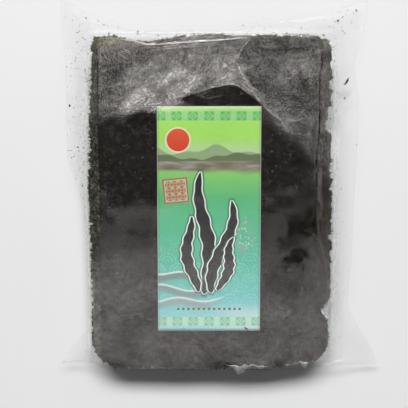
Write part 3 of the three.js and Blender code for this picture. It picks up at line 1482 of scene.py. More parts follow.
    def _sheet_points(self, flat: Array, rim: Array, share: float, draw: Chance) -> Array:
        """Places of one sheet's points, from a thin disc with an inner ring.

        Args:
            flat: The disc's points.
            rim: True for the points on the disc's rim.
            share: The sheet's height in the stack, 0 to 1.
            draw: Source of the sheet's own chance.

        Returns:
            One row of coordinates for each point.
        """
        angle = np.arctan2(flat[:, 1], flat[:, 0]) + draw.uniform(0.0, 0.02)
        edge, outward = self._edge(angle, share, draw)
        ragged = self._ragged(edge, angle, share, draw)
        plan = edge - outward * np.where(rim, ragged, self.strip)[:, None]
        z = share * self.surface(plan[:, 0], plan[:, 1])
        level = np.full(len(plan), share * 9.0)
        flutter = self.flutter.at(self.noise[0], plan[:, 0] + plan[:, 1], level)
        z = z + np.where(rim, flutter - self.flutter.depth, 0.0) + flat[:, 2] * self.thickness
        return self.form.placed(plan[:, 0], plan[:, 1], np.maximum(z, self.lowest))

    def _outline(self, share: float, draw: Chance) -> Outline:
        """The outline of a sheet, with its own small misplacement.

        Args:
            share: Its height in the stack, 0 to 1.
            draw: Source of chance.

        Returns:
            The outline.
        """
        height = share * self.form.height
        own = draw.uniform(0.0, 0.3, 4) * MM
        if height > self.bundle_from:
            middle = (self.bundle.middle[0] + own[0] - own[1], self.bundle.middle[1] + own[2] - own[3])
            return Outline(middle, self.bundle.half, self.bundle.turn, *self.corner)
        group = np.random.default_rng(self.seed + int(share * 11.0)).uniform(0.0, 1.0, 4)
        below = self.lower_clear * (1.0 - smooth_step(np.array(share), 0.77, 0.85)) * (0.6 + 0.8 * group)
        inset = self.form.inset(height + self.step) + self.side_clear
        left, right, top, bottom = inset + own + below
        middle = ((left - right) / 2, (bottom - top) / 2)
        half = (self.form.half_width - (left + right) / 2, self.form.half_length - (top + bottom) / 2)
        return Outline(middle, half, draw.normal(0.0, 0.0008), *self.corner)

    def _edge(self, angle: Array, share: float, draw: Chance) -> tuple[Array, Array]:
        """Points of a sheet's outline.

        Args:
            angle: Angles round the sheet.
            share: Its height in the stack, 0 to 1.
            draw: Source of chance.

        Returns:
            Places in the block's plan and their outward directions.
        """
        edge, outward = self._outline(share, draw).edge(angle)
        if share * self.form.height > self.bundle_from:
            edge[:, 0] += self._swung(edge[:, 0], edge[:, 1])
        edge[:, 0] += self.form.bulge(edge[:, 0], edge[:, 1])
        return edge, outward

    def missing(self, x: Array, y: Array) -> Array:
        """Measures points from the bitten edge of the sheets.

        Args:
            x: Places across the plan.
            y: Places along it.

        Returns:
            Metres, negative over the sheets.
        """
        half_x, half_y = self.form.half_width - self.side_clear, self.form.half_length - self.side_clear
        across, along = half_x - np.abs(x - self.form.bulge(x, y)), half_y - np.abs(y)
        side = across < along
        edge_x = np.where(side, np.sign(x) * half_x, x)
        edge_y = np.where(side, y, np.sign(y) * half_y)
        bites = sum(nibble.bite(np.stack([edge_x, edge_y], axis=1)) for nibble in self.nibbles)
        bitten = bites - np.minimum(across, along)
        return np.maximum(bitten, self.form.outline_distance(x, y) + self.side_clear)

    def _ragged(self, edge: Array, angle: Array, share: float, draw: Chance) -> Array:
        """How far a sheet's edge lies inside its outline.

        Args:
            edge: Points of the outline in the block's plan.
            angle: The points' angles round the sheet.
            share: The sheet's height in the stack, 0 to 1.
            draw: Source of the sheet's own chance.

        Returns:
            Depths in metres: dents, tears and teeth shared by all the sheets, own tears, and nibbles.
        """
        bites = sum(nibble.bite(edge) for nibble in self.nibbles) * (0.4 + 0.6 * share)
        ray = np.stack([np.cos(angle), np.sin(angle)])
        x, y = ray / np.max(np.abs(ray), axis=0) * np.array([[self.form.half_width], [self.form.half_length]])
        wear = 0.5 + smooth_step(self.noise[4](x, y, 16.0 * MM), -0.5, 0.6)
        dents = self.dent.above(self.noise[5], x, y, -0.1)
        tears = wear * self.tear.above(self.noise[6], x, y, 0.0)
        teeth = wear * self.tooth.above(self.noise[7], x, y, 0.1)
        own = self.noise[draw.integers(0, 4)]
        x, y = x + draw.uniform(0.0, 0.2), y + draw.uniform(0.0, 0.2)
        loose = self.fray.depth + self.fray.at(own, x, y) + self.own_tear.above(own, x, y, 0.6)
        return dents + tears + teeth + loose + bites - self.over

    def _store_edges(self, mesh: Mesh, points: Array, fringe: Array) -> None:
        """Stores how worn and how olive the sheets' points are; a strip of the left side takes the pale edge
        colour.

        Args:
            mesh: The sheets.
            points: Their points in the shared frame.
            fringe: How worn each point is.
        """
        x, y = self.form.plan(points)
        right, top = self.olive_top
        fuzz = smooth_step(x, *right) * smooth_step(y, *top)
        fuzz = 0.30 * fuzz * smooth_step(self.noise[1](x, y, 4.0 * MM), -0.4, 0.6)
        left, below, above = self.olive_side
        side = smooth_step(-x, *left) * smooth_step(-y, *below) * smooth_step(-y, *above)
        patchy = (0.15 + 0.85 * side) * smooth_step(self.noise[3](x, y, 6.0 * MM), -0.3, 0.5)
        strip = smooth_step(-x, *self.pale_strip) * (0.93 + 0.07 * self.noise[2](x, y, 3.0 * MM))
        olive = self.olive_corner.amount(x, y) + fuzz + patchy * (fringe > 0.5)
        Pieces.store(mesh, "fringe", np.maximum(fringe, strip))
        Pieces.store(mesh, "olive", np.minimum(1.0, olive))

    def _fibres(self, draw: Chance) -> Mesh:
        """Torn fibres that stick out along the edges of the upper sheets.

        Args:
            draw: Source of chance.

        Returns:
            The fibres as one mesh.
        """
        template = Pieces.slab(1, 1)
        flat = Pieces.points(template)
        share_out = flat[:, 0] * 0.5 + 0.5
        places = []
        for angle in draw.uniform(-math.pi, math.pi, self.fibre_count):
            share = draw.uniform(*self.fibre_level)
            edge, outward = self._edge(np.array([angle]), share, draw)
            inside = self._ragged(edge, np.array([angle]), share, draw)[0] + self.fibre_root
            root = edge[0] - outward[0] * inside
            turn = math.atan2(outward[0, 1], outward[0, 0]) + draw.normal(0.0, 0.8)
            along = share_out * draw.uniform(*self.fibre_length)
            across = flat[:, 1] * draw.uniform(*self.fibre_width) * (1.0 - 0.7 * share_out)
            x = root[0] + along * math.cos(turn) - across * math.sin(turn)
            y = root[1] + along * math.sin(turn) + across * math.cos(turn)
            z = share * self.surface(*root) + along * draw.uniform(*self.fibre_rise)
            places.append(self.form.placed(x, y, z + flat[:, 2] * self.fibre_thickness))
        mesh = Pieces.copies(template, places)
        tint = np.repeat(draw.uniform(0.0, 1.0, (self.fibre_count, 2)), len(flat), axis=0)
        x, y = self.form.plan(np.concatenate(places))
        left, (middle, reach) = self.pale_fibres
        pale = smooth_step(-x, *left) * np.exp(-(((y - middle) / reach) ** 2))
        Pieces.store(mesh, "fringe", 0.6 + 0.4 * tint[:, 0])
        Pieces.store(mesh, "olive", np.minimum(1.0, 0.7 * tint[:, 1] ** 3 + 1.2 * pale * tint[:, 0]))
        return mesh

    def _cover(self, front: bool) -> Mesh:
        """An outer sheet, with the bumps that show through the film.

        Args:
            front: True for the front sheet, false for the back one.

        Returns:
            The mesh.
        """
        mesh = Pieces.slab(*self.cover_grid)
        flat = Pieces.points(mesh)
        draw = np.random.default_rng(self.seed + 1 + front)
        share = self.cover_shares[front]
        plan, inward = self._outline(share, draw).filled(flat[:, :2])
        if front:
            plan[:, 0] += self._swung(plan[:, 0], plan[:, 1])
        plan[:, 0] += self.form.bulge(plan[:, 0], plan[:, 1])
        near = np.max(np.abs(flat[:, :2]), axis=1)
        angle = np.arctan2(flat[:, 1], flat[:, 0])
        ragged = self._ragged(plan / near[:, None].clip(1e-6), angle, share, draw) + self.over
        plan = plan + inward * (ragged * near ** self.tear_power)[:, None]
        x, y = plan[:, 0], plan[:, 1]
        fine = self.pucker.at(self.noise[2], x + 0.4 * y, y - 0.3 * x)
        if front:
            z = self.surface(x, y) + self.bumps(x, y) + fine
        else:
            z = self.clear - self.back_bumps * (self.bumps(x, y) + fine)
        z = z + flat[:, 2] * self.thickness
        points = self.form.placed(x, y, np.maximum(z, self.cover_lowest))
        Pieces.move(mesh, points)
        self._store_edges(mesh, points, smooth_step(near, 0.988, 1.0))
        return mesh


@dataclass
class FilmBag:
    """The clear bag: film tight over the block, tents of film at its sides, and four flared ears."""

    form: Form
    stack: NoriStack
    columns: int = 160
    rows: int = 214
    margin_lines: int = 13
    gap: float = 0.25 * MM
    seam_height: float = 15.0 * MM
    ear_droop: float = 6.0 * MM
    tent: float = 2.2
    wave_height: float = 1.3 * MM
    wave_across: float = 31.0 * MM
    wave_along: float = 43.0 * MM
    floor_gap: float = 0.15 * MM
    slack: Grain = Grain(0.30 * MM, 46.0 * MM)
    sag: Grain = Grain(0.12 * MM, 18.0 * MM)
    crumple: Grain = Grain(0.15 * MM, 7.0 * MM)
    above_sheet: float = 0.25 * MM
    step_width: float = 2.0 * MM
    step_span: tuple[Point, Point] = ((30.0 * MM, 60.0 * MM), (-40.0 * MM, 30.0 * MM))
    uneven: Grain = Grain(0.7 * MM, 9.0 * MM)
    cling_upper: Point = (-2.5 * MM, 3.0 * MM)
    cling_right: Point = (-10.0 * MM, 4.0 * MM)
    drift: Grain = Grain(5.0 * MM, 14.0 * MM)
    shiver: Grain = Grain(2.2 * MM, 4.0 * MM)
    painted_reflection_range: Point = (0.05, 3.5)
    calm_strip: tuple[Point, Point] = ((89.6 * MM, 90.8 * MM), (-75.0 * MM, -25.0 * MM))
    back_cling: float = 0.3
    rim: Point = (-1.4 * MM, -0.4 * MM)
    # the painted glare band beside the block: where it rises and fades with distance out from the outline, and
    # where it fades at the foot and at the head
    painted_glare_band: tuple[Point, Point] = ((-0.5 * MM, 0.8 * MM), (-10.0 * MM, -0.5 * MM))
    painted_glare_foot: Point = (-133.0 * MM, -118.0 * MM)
    painted_glare_head: Point = (124.0 * MM, 134.0 * MM)
    crease_count: int = 150
    crease_root: Point = (0.97, 1.08)
    crease_length: Point = (12.0, 45.0)
    crease_height: Point = (-0.7, 0.9)
    crease_width: Point = (2.0, 6.5)
    seed: int = 11
    # folds over the block; the fourth value is painted light along the fold: a highlight line where positive, a
    # dark line, as of shade in a groove, where negative
    pulls: tuple[Crease, ...] = (
        Crease(
            ((-76, 134), (-60, 131.8), (-51, 129), (-42, 129), (-34, 129.8), (-17, 130.9), (1, 132),
             (15, 133), (31, 135)),
            0.25, 1.3, 2.2, 0.12, 0.8,
        ),
        Crease(((-50, 124), (-40, 125), (-25, 127), (-1, 128)), 0.15, 1.2, 0.6),
        Crease(
            ((32.7, 134.2), (28.4, 130.4), (24.6, 125.7), (22.4, 121.9), (21.1, 114.2)), 0.30, 1.5, 0.9, 0.1,
        ),
        Crease(
            ((21.1, 117), (21.1, 114.2), (23.3, 108.2), (25.9, 103.1), (30.3, 96.2), (36.4, 88.4),
             (40.8, 81.5)),
            0.30, 1.5, 0.8, 0.1,
        ),
        Crease(
            ((-20, 88.4), (-8.7, 91.9), (0, 94.9), (10.4, 97), (17.3, 97.9), (22.5, 96.6), (28.6, 91.5),
             (34.7, 86.3), (40.8, 81.5), (46.9, 75), (52.2, 71.8), (59.5, 66)),
            0.30, 1.5, 0.75, 0.1,
        ),
        Crease(((28.5, 109.9), (30.7, 101.4), (36.4, 92.3)), -0.20, 1.3, -0.7),
        Crease(((-71, 126.5), (-64, 122.5)), 0.15, 0.9, 1.4, 0.3, 0.6),
        Crease(((-78, 127), (-71, 120), (-62, 115)), 0.10, 0.9, 0.8, 0.3, 0.5),
        Crease(((-90, 129), (-90.4, 70), (-91.4, 0)), -0.30, 1.1, -0.5),
        Crease(
            ((38, 126), (47, 124.5), (59, 124.5), (71, 126), (79, 124.5), (88, 124)),
            -0.15, 1.3, -0.45, 0.1, 0.6,
        ),
        Crease(
            ((90.5, 124), (88.4, 120), (89, 113.4), (87.3, 108.2), (87, 96), (87.3, 79), (87.1, 66),
             (86.9, 53), (85.6, 44), (84.9, 35), (84.7, 15)),
            -0.10, 1.1, -1.3, 0.12, 0.65,
        ),
        Crease(((-12, 88), (0, 91.5)), 0.05, 0.9, 0.45),
        Crease(((-6, 85.5), (10, 89)), 0.05, 0.9, 0.45),
        Crease(((45, 70.5), (62, 69), (84, 66)), 0.10, 1.2, 0.35, 0.3),
        Crease(((50, 92), (60, 100), (70, 107)), 0.10, 1.2, 0.35, 0.3),
    )
    # areas of painted reflection over the block: bright haze where the gain is positive, dark zones where it is
    # negative
    painted_reflection_regions: tuple[Region, ...] = (
        Region(((-76, 134.5), (-60, 134.5), (-44, 133.5), (-47, 130), (-60, 132)), 1.0, 1.0),
        Region(
            ((-65, 75.5), (-68, 82), (-64, 88), (-60, 93), (-52, 101), (-41, 107), (-28, 111), (-15, 106),
             (-11, 98), (-16, 92), (-25, 87), (-33, 81), (-43, 75.5)),
            0.64, 3.0,
        ),
        Region(((-38, 104), (-16, 105), (-12, 94), (-22, 88), (-34, 88)), 0.30, 5.0),
        Region(
            ((-89, 131), (-74, 129), (-48, 125), (-52, 115), (-66, 107), (-79, 93), (-89, 85)), -0.48, 6.0,
        ),
        Region(((-68, 70), (-66, 74), (-60, 74.4), (-43, 75.6), (-43, 62), (-66, 62)), -0.8, 0.8, 0.3),
        Region(
            ((-26, 86), (-13, 91), (3, 95), (14, 97), (22, 96), (31, 90), (41, 81), (-13, 80)),
            -1.0, 1.0, 0.15,
        ),
        Region(
            ((31, 136), (24, 126), (22, 121), (28, 117), (41, 118), (59, 120), (71, 122), (89, 127),
             (90, 136)),
            -0.58, 1.5, 0.2,
        ),
        Region(
            ((22, 116), (40, 85), (67, 59), (64, 30), (99, 30), (99, 126), (71, 121), (41, 117)), -0.46, 2.5,
        ),
        Region(((60, 58), (58, 30), (92, 24), (92, 42)), 0.04, 6.0),
        Region(((86.5, 124), (99, 124), (99, 10), (86, 10)), -0.08, 1.2),
        Region(((63, -4), (84, -4), (84, -24), (77.5, -26.6), (72.6, -24), (63.7, -25)), -0.42, 3.0, 1.0),
        Region(
            ((60, -46), (64.6, -38), (71, -35), (77.6, -36), (83.4, -40.6), (81.8, -44), (74.5, -43),
             (70.5, -49), (65.6, -50), (61.5, -49.7)),
            -0.55, 2.2, 1.0,
        ),
        Region(((72, -49.5), (78, -51), (75.4, -54.5)), -0.45, 1.5, 1.0),
    )
    # soft spots of painted reflection, brighter where the gain is positive and darker where it is negative
    painted_reflection_patches: tuple[Patch, ...] = (
        Patch((80, 111), (10, 8), 0.35),
        Patch((58, 99), (10, 6), 0.35, 0.6),
        Patch((60, 68), (7, 8), 0.45, 0.7),
        Patch((76, 94), (9, 8), -0.25),
        Patch((46, 97), (8, 6), -0.25),
        Patch((60, -32), (7, 5), -0.30, 0.5),
        Patch((-82, 84), (12, 15), -0.40),
        Patch((0, -20), (130, 30), -0.62),
        Patch((75, -22), (26, 26), -0.22),
        Patch((63, -62), (20, 14), -0.40),
        Patch((-60, -22), (30, 10), -0.15),
        Patch((-8, 118.5), (32, 3.5), -0.20, 0.05),
        Patch((4, 111), (30, 1.8), 0.12, 0.05),
        Patch((56, 22), (13, 20), -0.25),
    )
    noise: tuple[Noise, ...] = field(default_factory=lambda: tuple(Noise(40 + number) for number in range(5)))

    def build(self) -> Object:
        """Makes the bag, in place.

        Returns:
            The finished bag.
        """
        mesh = Pieces.slab(self.columns + 2 * self.margin_lines, self.rows + 2 * self.margin_lines)
        flat = Pieces.points(mesh)
        upper = flat[:, 2] > -0.5
        points, free = self._points(flat[:, 0], flat[:, 1], upper)
        Pieces.move(mesh, points)
        x, y = self.form.plan(points)
        Pieces.store(mesh, "free", free)
        # painted reflection level and painted light along the fold lines over the block; the film under the
        # block keeps an even level
        Pieces.store(mesh, "painted_reflection", np.where(upper, self._painted_reflection_at(x, y), 1.0))
        away, painted_light = self._lines(x, y)
        Pieces.store(mesh, "line_away", away)
        Pieces.store(mesh, "painted_line_light", np.where(upper, painted_light, 0.0))
        Pieces.store(mesh, "cling", np.where(upper, self._cling(x, y), self.back_cling))
        outside = self.form.outline_distance(x, y)
        Pieces.store(mesh, "rim", smooth_step(outside, *self.rim) * (1.0 - free))
        # where the painted white glare lies, on the upper film
        Pieces.store(mesh, "painted_glare_band", self._painted_glare_zone(outside, y) * upper)
        return Pieces.add("film_bag", mesh, FilmFinish().material(), Slot.FILM)

    def _painted_glare_zone(self, outside: Array, y: Array) -> Array:
        """Where the painted white glare lies: a narrow band beside the block, weaker towards its head and none
        at its foot.

        Args:
            outside: Distances from the block's outline.
            y: Places along the plan.

        Returns:
            One value for each point, 0 to 1.
        """
        near, far = self.painted_glare_band
        beside = smooth_step(outside, *near) * smooth_step(-outside, *far)
        along = smooth_step(y, *self.painted_glare_foot) * (1.0 - 0.7 * smooth_step(y, *self.painted_glare_head))
        return beside * along

    def _split(self, place: Array, inner: int) -> tuple[Array, Array, Array]:
        """Splits a grid line's place.

        Args:
            place: Places of -1 to 1.
            inner: How many lines lie over the block.

        Returns:
            The side, and the shares of the block and of the free film.
        """
        half = inner / 2
        line = np.abs(place) * (half + self.margin_lines)
        sheet = np.minimum(1.0, line / half)
        film = np.maximum(0.0, (line - half) / self.margin_lines)
        return np.sign(place), 0.45 * sheet + 0.55 * np.sin(sheet * math.pi / 2), film

    def _points(self, u: Array, v: Array, upper: Array) -> tuple[Array, Array]:
        """Places of the film's points.

        Args:
            u: Place across the flat bag, -1 to 1.
            v: Place along it, -1 to 1.
            upper: True on the film over the sheets, false on the film under them.

        Returns:
            One row of coordinates for each point, and how free of the block each point is.
        """
        form = self.form
        side_x, sheet_x, film_x = self._split(u, self.columns)
        side_y, sheet_y, film_y = self._split(v, self.rows)
        place_x = side_x * (sheet_x + (form.ear - 1.0) * film_x)
        place_y = side_y * (sheet_y + (form.ear - 1.0) * film_y)
        reach_x = np.where(side_x > 0, form.right.at(place_y), form.left.at(place_y))
        reach_y = np.where(side_y > 0, form.top.at(place_x), form.bottom.at(place_x))
        square = np.stack([side_x * form.half_width * sheet_x, side_y * form.half_length * sheet_y], axis=1)
        on_block = self._rounded_corner(square)
        out = np.maximum(film_x, film_y)[:, None]
        plan = on_block * (1.0 - out) + square * out
        x = plan[:, 0] + side_x * (reach_x - form.looseness) * film_x + form.bulge(*on_block.T)
        y = plan[:, 1] + side_y * (reach_y - form.looseness) * film_y

        tent = ((1.0 - film_x) * (1.0 - film_y)) ** self.tent
        seam = self._seam(x, y, film_x * film_y)
        top = form.top_of_block(*on_block.T) + self._relief(*on_block.T)
        bottom = np.maximum(form.bottom_of_block(*on_block.T), self.floor_gap)
        edge = seam + np.where(upper, 0.5, -0.5) * self.gap
        z = edge + (np.where(upper, top, bottom) - edge) * tent
        z += self._crinkle(x, y) * (1.0 - tent) * np.where(upper, 1.0, 0.8)
        points = form.placed(x, y, np.maximum(z, self.floor_gap))
        return points, smooth_step(out[:, 0], 0.0, 0.2)

    def _rounded_corner(self, square: Array) -> Array:
        """Pulls points in where they lie outside a round corner.

        Args:
            square: Points of the block's rectangle.

        Returns:
            Points of the block.
        """
        corner = self.form.corner(square[:, 1])[:, None]
        reach = np.array([self.form.half_width, self.form.half_length]) - corner
        core = np.sign(square) * np.minimum(np.abs(square), reach)
        away = square - core
        length = np.linalg.norm(away, axis=1, keepdims=True)
        return core + away * np.minimum(1.0, corner / np.maximum(length, TINY))

    def _seam(self, x: Array, y: Array, droop: Array) -> Array:
        """Height of the seam where the upper film meets the lower one."""
        wave = np.sin(x / self.wave_across * math.pi) * np.cos(y / self.wave_along * math.pi)
        return self.seam_height - self.ear_droop * droop + self.wave_height * wave

    def _relief(self, x: Array, y: Array) -> Array:
        """Height of the film over the block: slack, the sheet's bumps, folds and the step off the bundle.

        Args:
            x: Places across the plan.
            y: Places along it.

        Returns:
            Heights in metres.
        """
        slack = self.slack.depth + self.slack.at(self.noise[0], x, y) + self.sag.at(self.noise[1], x, y)
        crumple = self.crumple.at(self.noise[2], x, y) * self._cling(x, y)
        folds = sum(pull.lift(x, y) for pull in self.pulls)
        step = 0.4 * self.stack.step * smooth_step(self.stack.beyond_bundle(x, y), 0.0, self.step_width)
        right, above = self.step_span
        step = step * smooth_step(x, *right) * smooth_step(y, *above)
        return self.above_sheet + slack + 0.35 * self.stack.bumps(x, y) + crumple + folds - step

    def _cling(self, x: Array, y: Array) -> Array:
        """Finds where the film clings to the rough sheet.

        Args:
            x: Places across the plan.
            y: Places along it.

        Returns:
            One on the facets of the top face, 0 on the flat.
        """
        upper, right = self.form.beyond_facet(x, y)
        upper = smooth_step(upper + self.uneven.at(self.noise[3], x, y), *self.cling_upper)
        return np.maximum(upper, smooth_step(right, *self.cling_right))

    def _painted_reflection_at(self, x: Array, y: Array) -> Array:
        """Painted reflection level of the film over the block; damped on the left strip and over missing
        sheets.

        Args:
            x: Places across the plan.
            y: Places along it.

        Returns:
            One level for each point, about 1.
        """
        shift_x = self.drift.at(self.noise[3], x, y) + self.shiver.at(self.noise[2], x, y)
        shift_y = self.drift.at(self.noise[4], x, y) + self.shiver.at(self.noise[1], x, y)
        level = 1.0 + sum(patch.amount(x + shift_x, y + shift_y) for patch in self.painted_reflection_patches)
        for region in self.painted_reflection_regions:
            level = level + region.amount(x + region.warp * shift_x, y + region.warp * shift_y)
        left, above = self.calm_strip
        strip = smooth_step(-x, *left) * smooth_step(y, *above)
        bare = smooth_step(self.stack.missing(x, y), -0.4 * MM, 0.9 * MM)
        return np.clip(level, *self.painted_reflection_range) * (1.0 - 0.8 * strip) * (1.0 - 0.85 * bare)

    def _lines(self, x: Array, y: Array) -> tuple[Array, Array]:
        """Finds the nearest fold line.

        Args:
            x: Places across the plan.
            y: Places along it.

        Returns:
            Distance to it, in half widths of the line, and its painted light.
        """
        nearest = np.full(np.shape(x), np.inf)
        painted_light = np.zeros(np.shape(x))
        for pull in self.pulls:
            away, ends = pull.nearest(x, y)
            away = away / (pull.line * MM)
            closer = np.abs(away) < np.abs(nearest)
            nearest = np.where(closer, away, nearest)
            painted_light = np.where(closer, pull.painted_light * ends, painted_light)
        return np.clip(nearest, -9.0, 9.0), painted_light * smooth_step(-np.abs(nearest), -5.0, -3.0)

    def _crinkle(self, x: Array, y: Array) -> Array:
        """Folds in the free film, which run outwards from the block.

        Args:
            x: Places across the plan.
            y: Places along it.

        Returns:
            Heights in metres.
        """
        half = np.array([self.form.half_width, self.form.half_length]) / MM
        draw = np.random.default_rng(self.seed)
        total = np.zeros_like(x)
        for _ in range(self.crease_count):
            angle = draw.uniform(0.0, 2.0 * math.pi)
            ray = np.array([math.cos(angle), math.sin(angle)])
            root = ray / np.max(np.abs(ray)) * half * draw.uniform(*self.crease_root)
            turn = math.atan2(root[1] ** 3, root[0] ** 3 * 2.0) + draw.normal(0.0, 0.5)
            tip = root + draw.uniform(*self.crease_length) * np.array([math.cos(turn), math.sin(turn)])
            height, width = draw.uniform(*self.crease_height), draw.uniform(*self.crease_width)
            crease = Crease((tuple(root), tuple(tip)), height, width)
            total += crease.lift(x, y)
        return total


@dataclass(frozen=True)
class Flap:
    """A small crumpled bit of film; millimetres in the block's plan, heights from the floor.

    It hangs from a line between two points and reaches out from it in humps of (place along the line, width,
    length).
    """

    start: Point
    end: Point
    out: Point
    height: float
    fall: float
    humps: tuple[tuple[float, float, float], ...]
    crumple: float = 1.0
    least: float = 0.6
    droop: float = 2.5

    def points(self, place: Array, noise: Noise) -> Array:
        """Places of the flap's points.

        Args:
            place: Points of a square of -1 to 1.
            noise: Noise for its crumples.

        Returns:
            One row each, in the block's plan.
        """
        along, outward = place[:, 0] * 0.5 + 0.5, place[:, 1] * 0.5 + 0.5
        humps = (size * np.exp(-(((along - middle) / width) ** 2)) for middle, width, size in self.humps)
        length = self.least + sum(humps)
        reach = outward * length * (1.0 + 0.15 * noise(along, outward * 0.0, 0.06))
        first, last = np.array(self.start), np.array(self.end)
        reach = reach + self.crumple * (1.0 - outward) * 1.6 * noise(along, outward * 0.0, 0.11)
        plan = first + (last - first) * along[:, None] + np.array(self.out) * reach[:, None]
        crumple = self.crumple * (1.3 * noise(along, outward, 0.14) + 0.7 * noise(outward, along, 0.07))
        drop = self.fall * outward ** self.droop
        return MM * np.column_stack([plan, self.height - drop + crumple * (0.2 + 0.8 * outward)])


@dataclass
class FilmFlaps:
    """Crumpled bits of film at the block's bottom edge and in the notch of its right edge."""

    form: Form
    grid: tuple[int, int] = (26, 10)
    thickness: float = 0.06
    flaps: tuple[Flap, ...] = (
        Flap((13, -131.8), (47, -132.4), (0, -1), 36.9, 9.0, ((0.33, 0.20, 10.5), (0.80, 0.16, 5.0))),
        Flap((60, -131.6), (81, -128.8), (0.1, -1), 36.6, 8.0, ((0.3, 0.3, 2.4), (0.85, 0.14, 7.0))),
        Flap((97.4, -78.5), (97.4, -97), (-1, 0), 30.5, -1.5, ((0.5, 0.30, 6.4),), 0.35),
    )
    noise: Noise = field(default_factory=lambda: Noise(131))

    def build(self) -> None:
        """Makes the flaps as one piece, in place."""
        template = Pieces.slab(*self.grid)
        flat = Pieces.points(template)
        shift = np.array([*self.form.centre, 0.0])
        below = flat[:, 2:] * np.array([0.0, 0.0, self.thickness * MM])
        places = [flap.points(flat[:, :2], self.noise) + shift + below for flap in self.flaps]
        mesh = Pieces.copies(template, places)
        mesh.polygons.foreach_set("use_smooth", [True] * len(mesh.polygons))
        Pieces.add("film_flaps", mesh, CloudyFilmFinish().material(), Slot.FILM)


@dataclass
class Label:
    """The printed paper label between the film and the front sheet."""

    stack: NoriStack
    width: float = 83.6 * MM
    length: float = 183.8 * MM
    offset: Point = (-1.40 * MM, -11.9 * MM)
    thickness: float = 0.12 * MM
    above: float = 0.55 * MM
    grid: tuple[int, int] = (34, 72)
    curl: Grain = Grain(0.10 * MM, 30.0 * MM)
    noise: Noise = field(default_factory=lambda: Noise(97))

    def build(self) -> None:
        """Makes the label, in place."""
        mesh = Pieces.slab(*self.grid)
        flat = Pieces.points(mesh)
        x = flat[:, 0] * self.width / 2 + self.offset[0]
        y = flat[:, 1] * self.length / 2 + self.offset[1]
        z = self.stack.surface(x, y) + self.above + self.curl.at(self.noise, x, y)
        Pieces.move(mesh, self.stack.form.placed(x, y, z + flat[:, 2] * self.thickness))
        block = self.stack.form.centre
        centre = (block[0] + self.offset[0], block[1] + self.offset[1])
        Pieces.add("label", mesh, LabelFinish(centre, self.width, self.length).material(), Slot.LABEL)


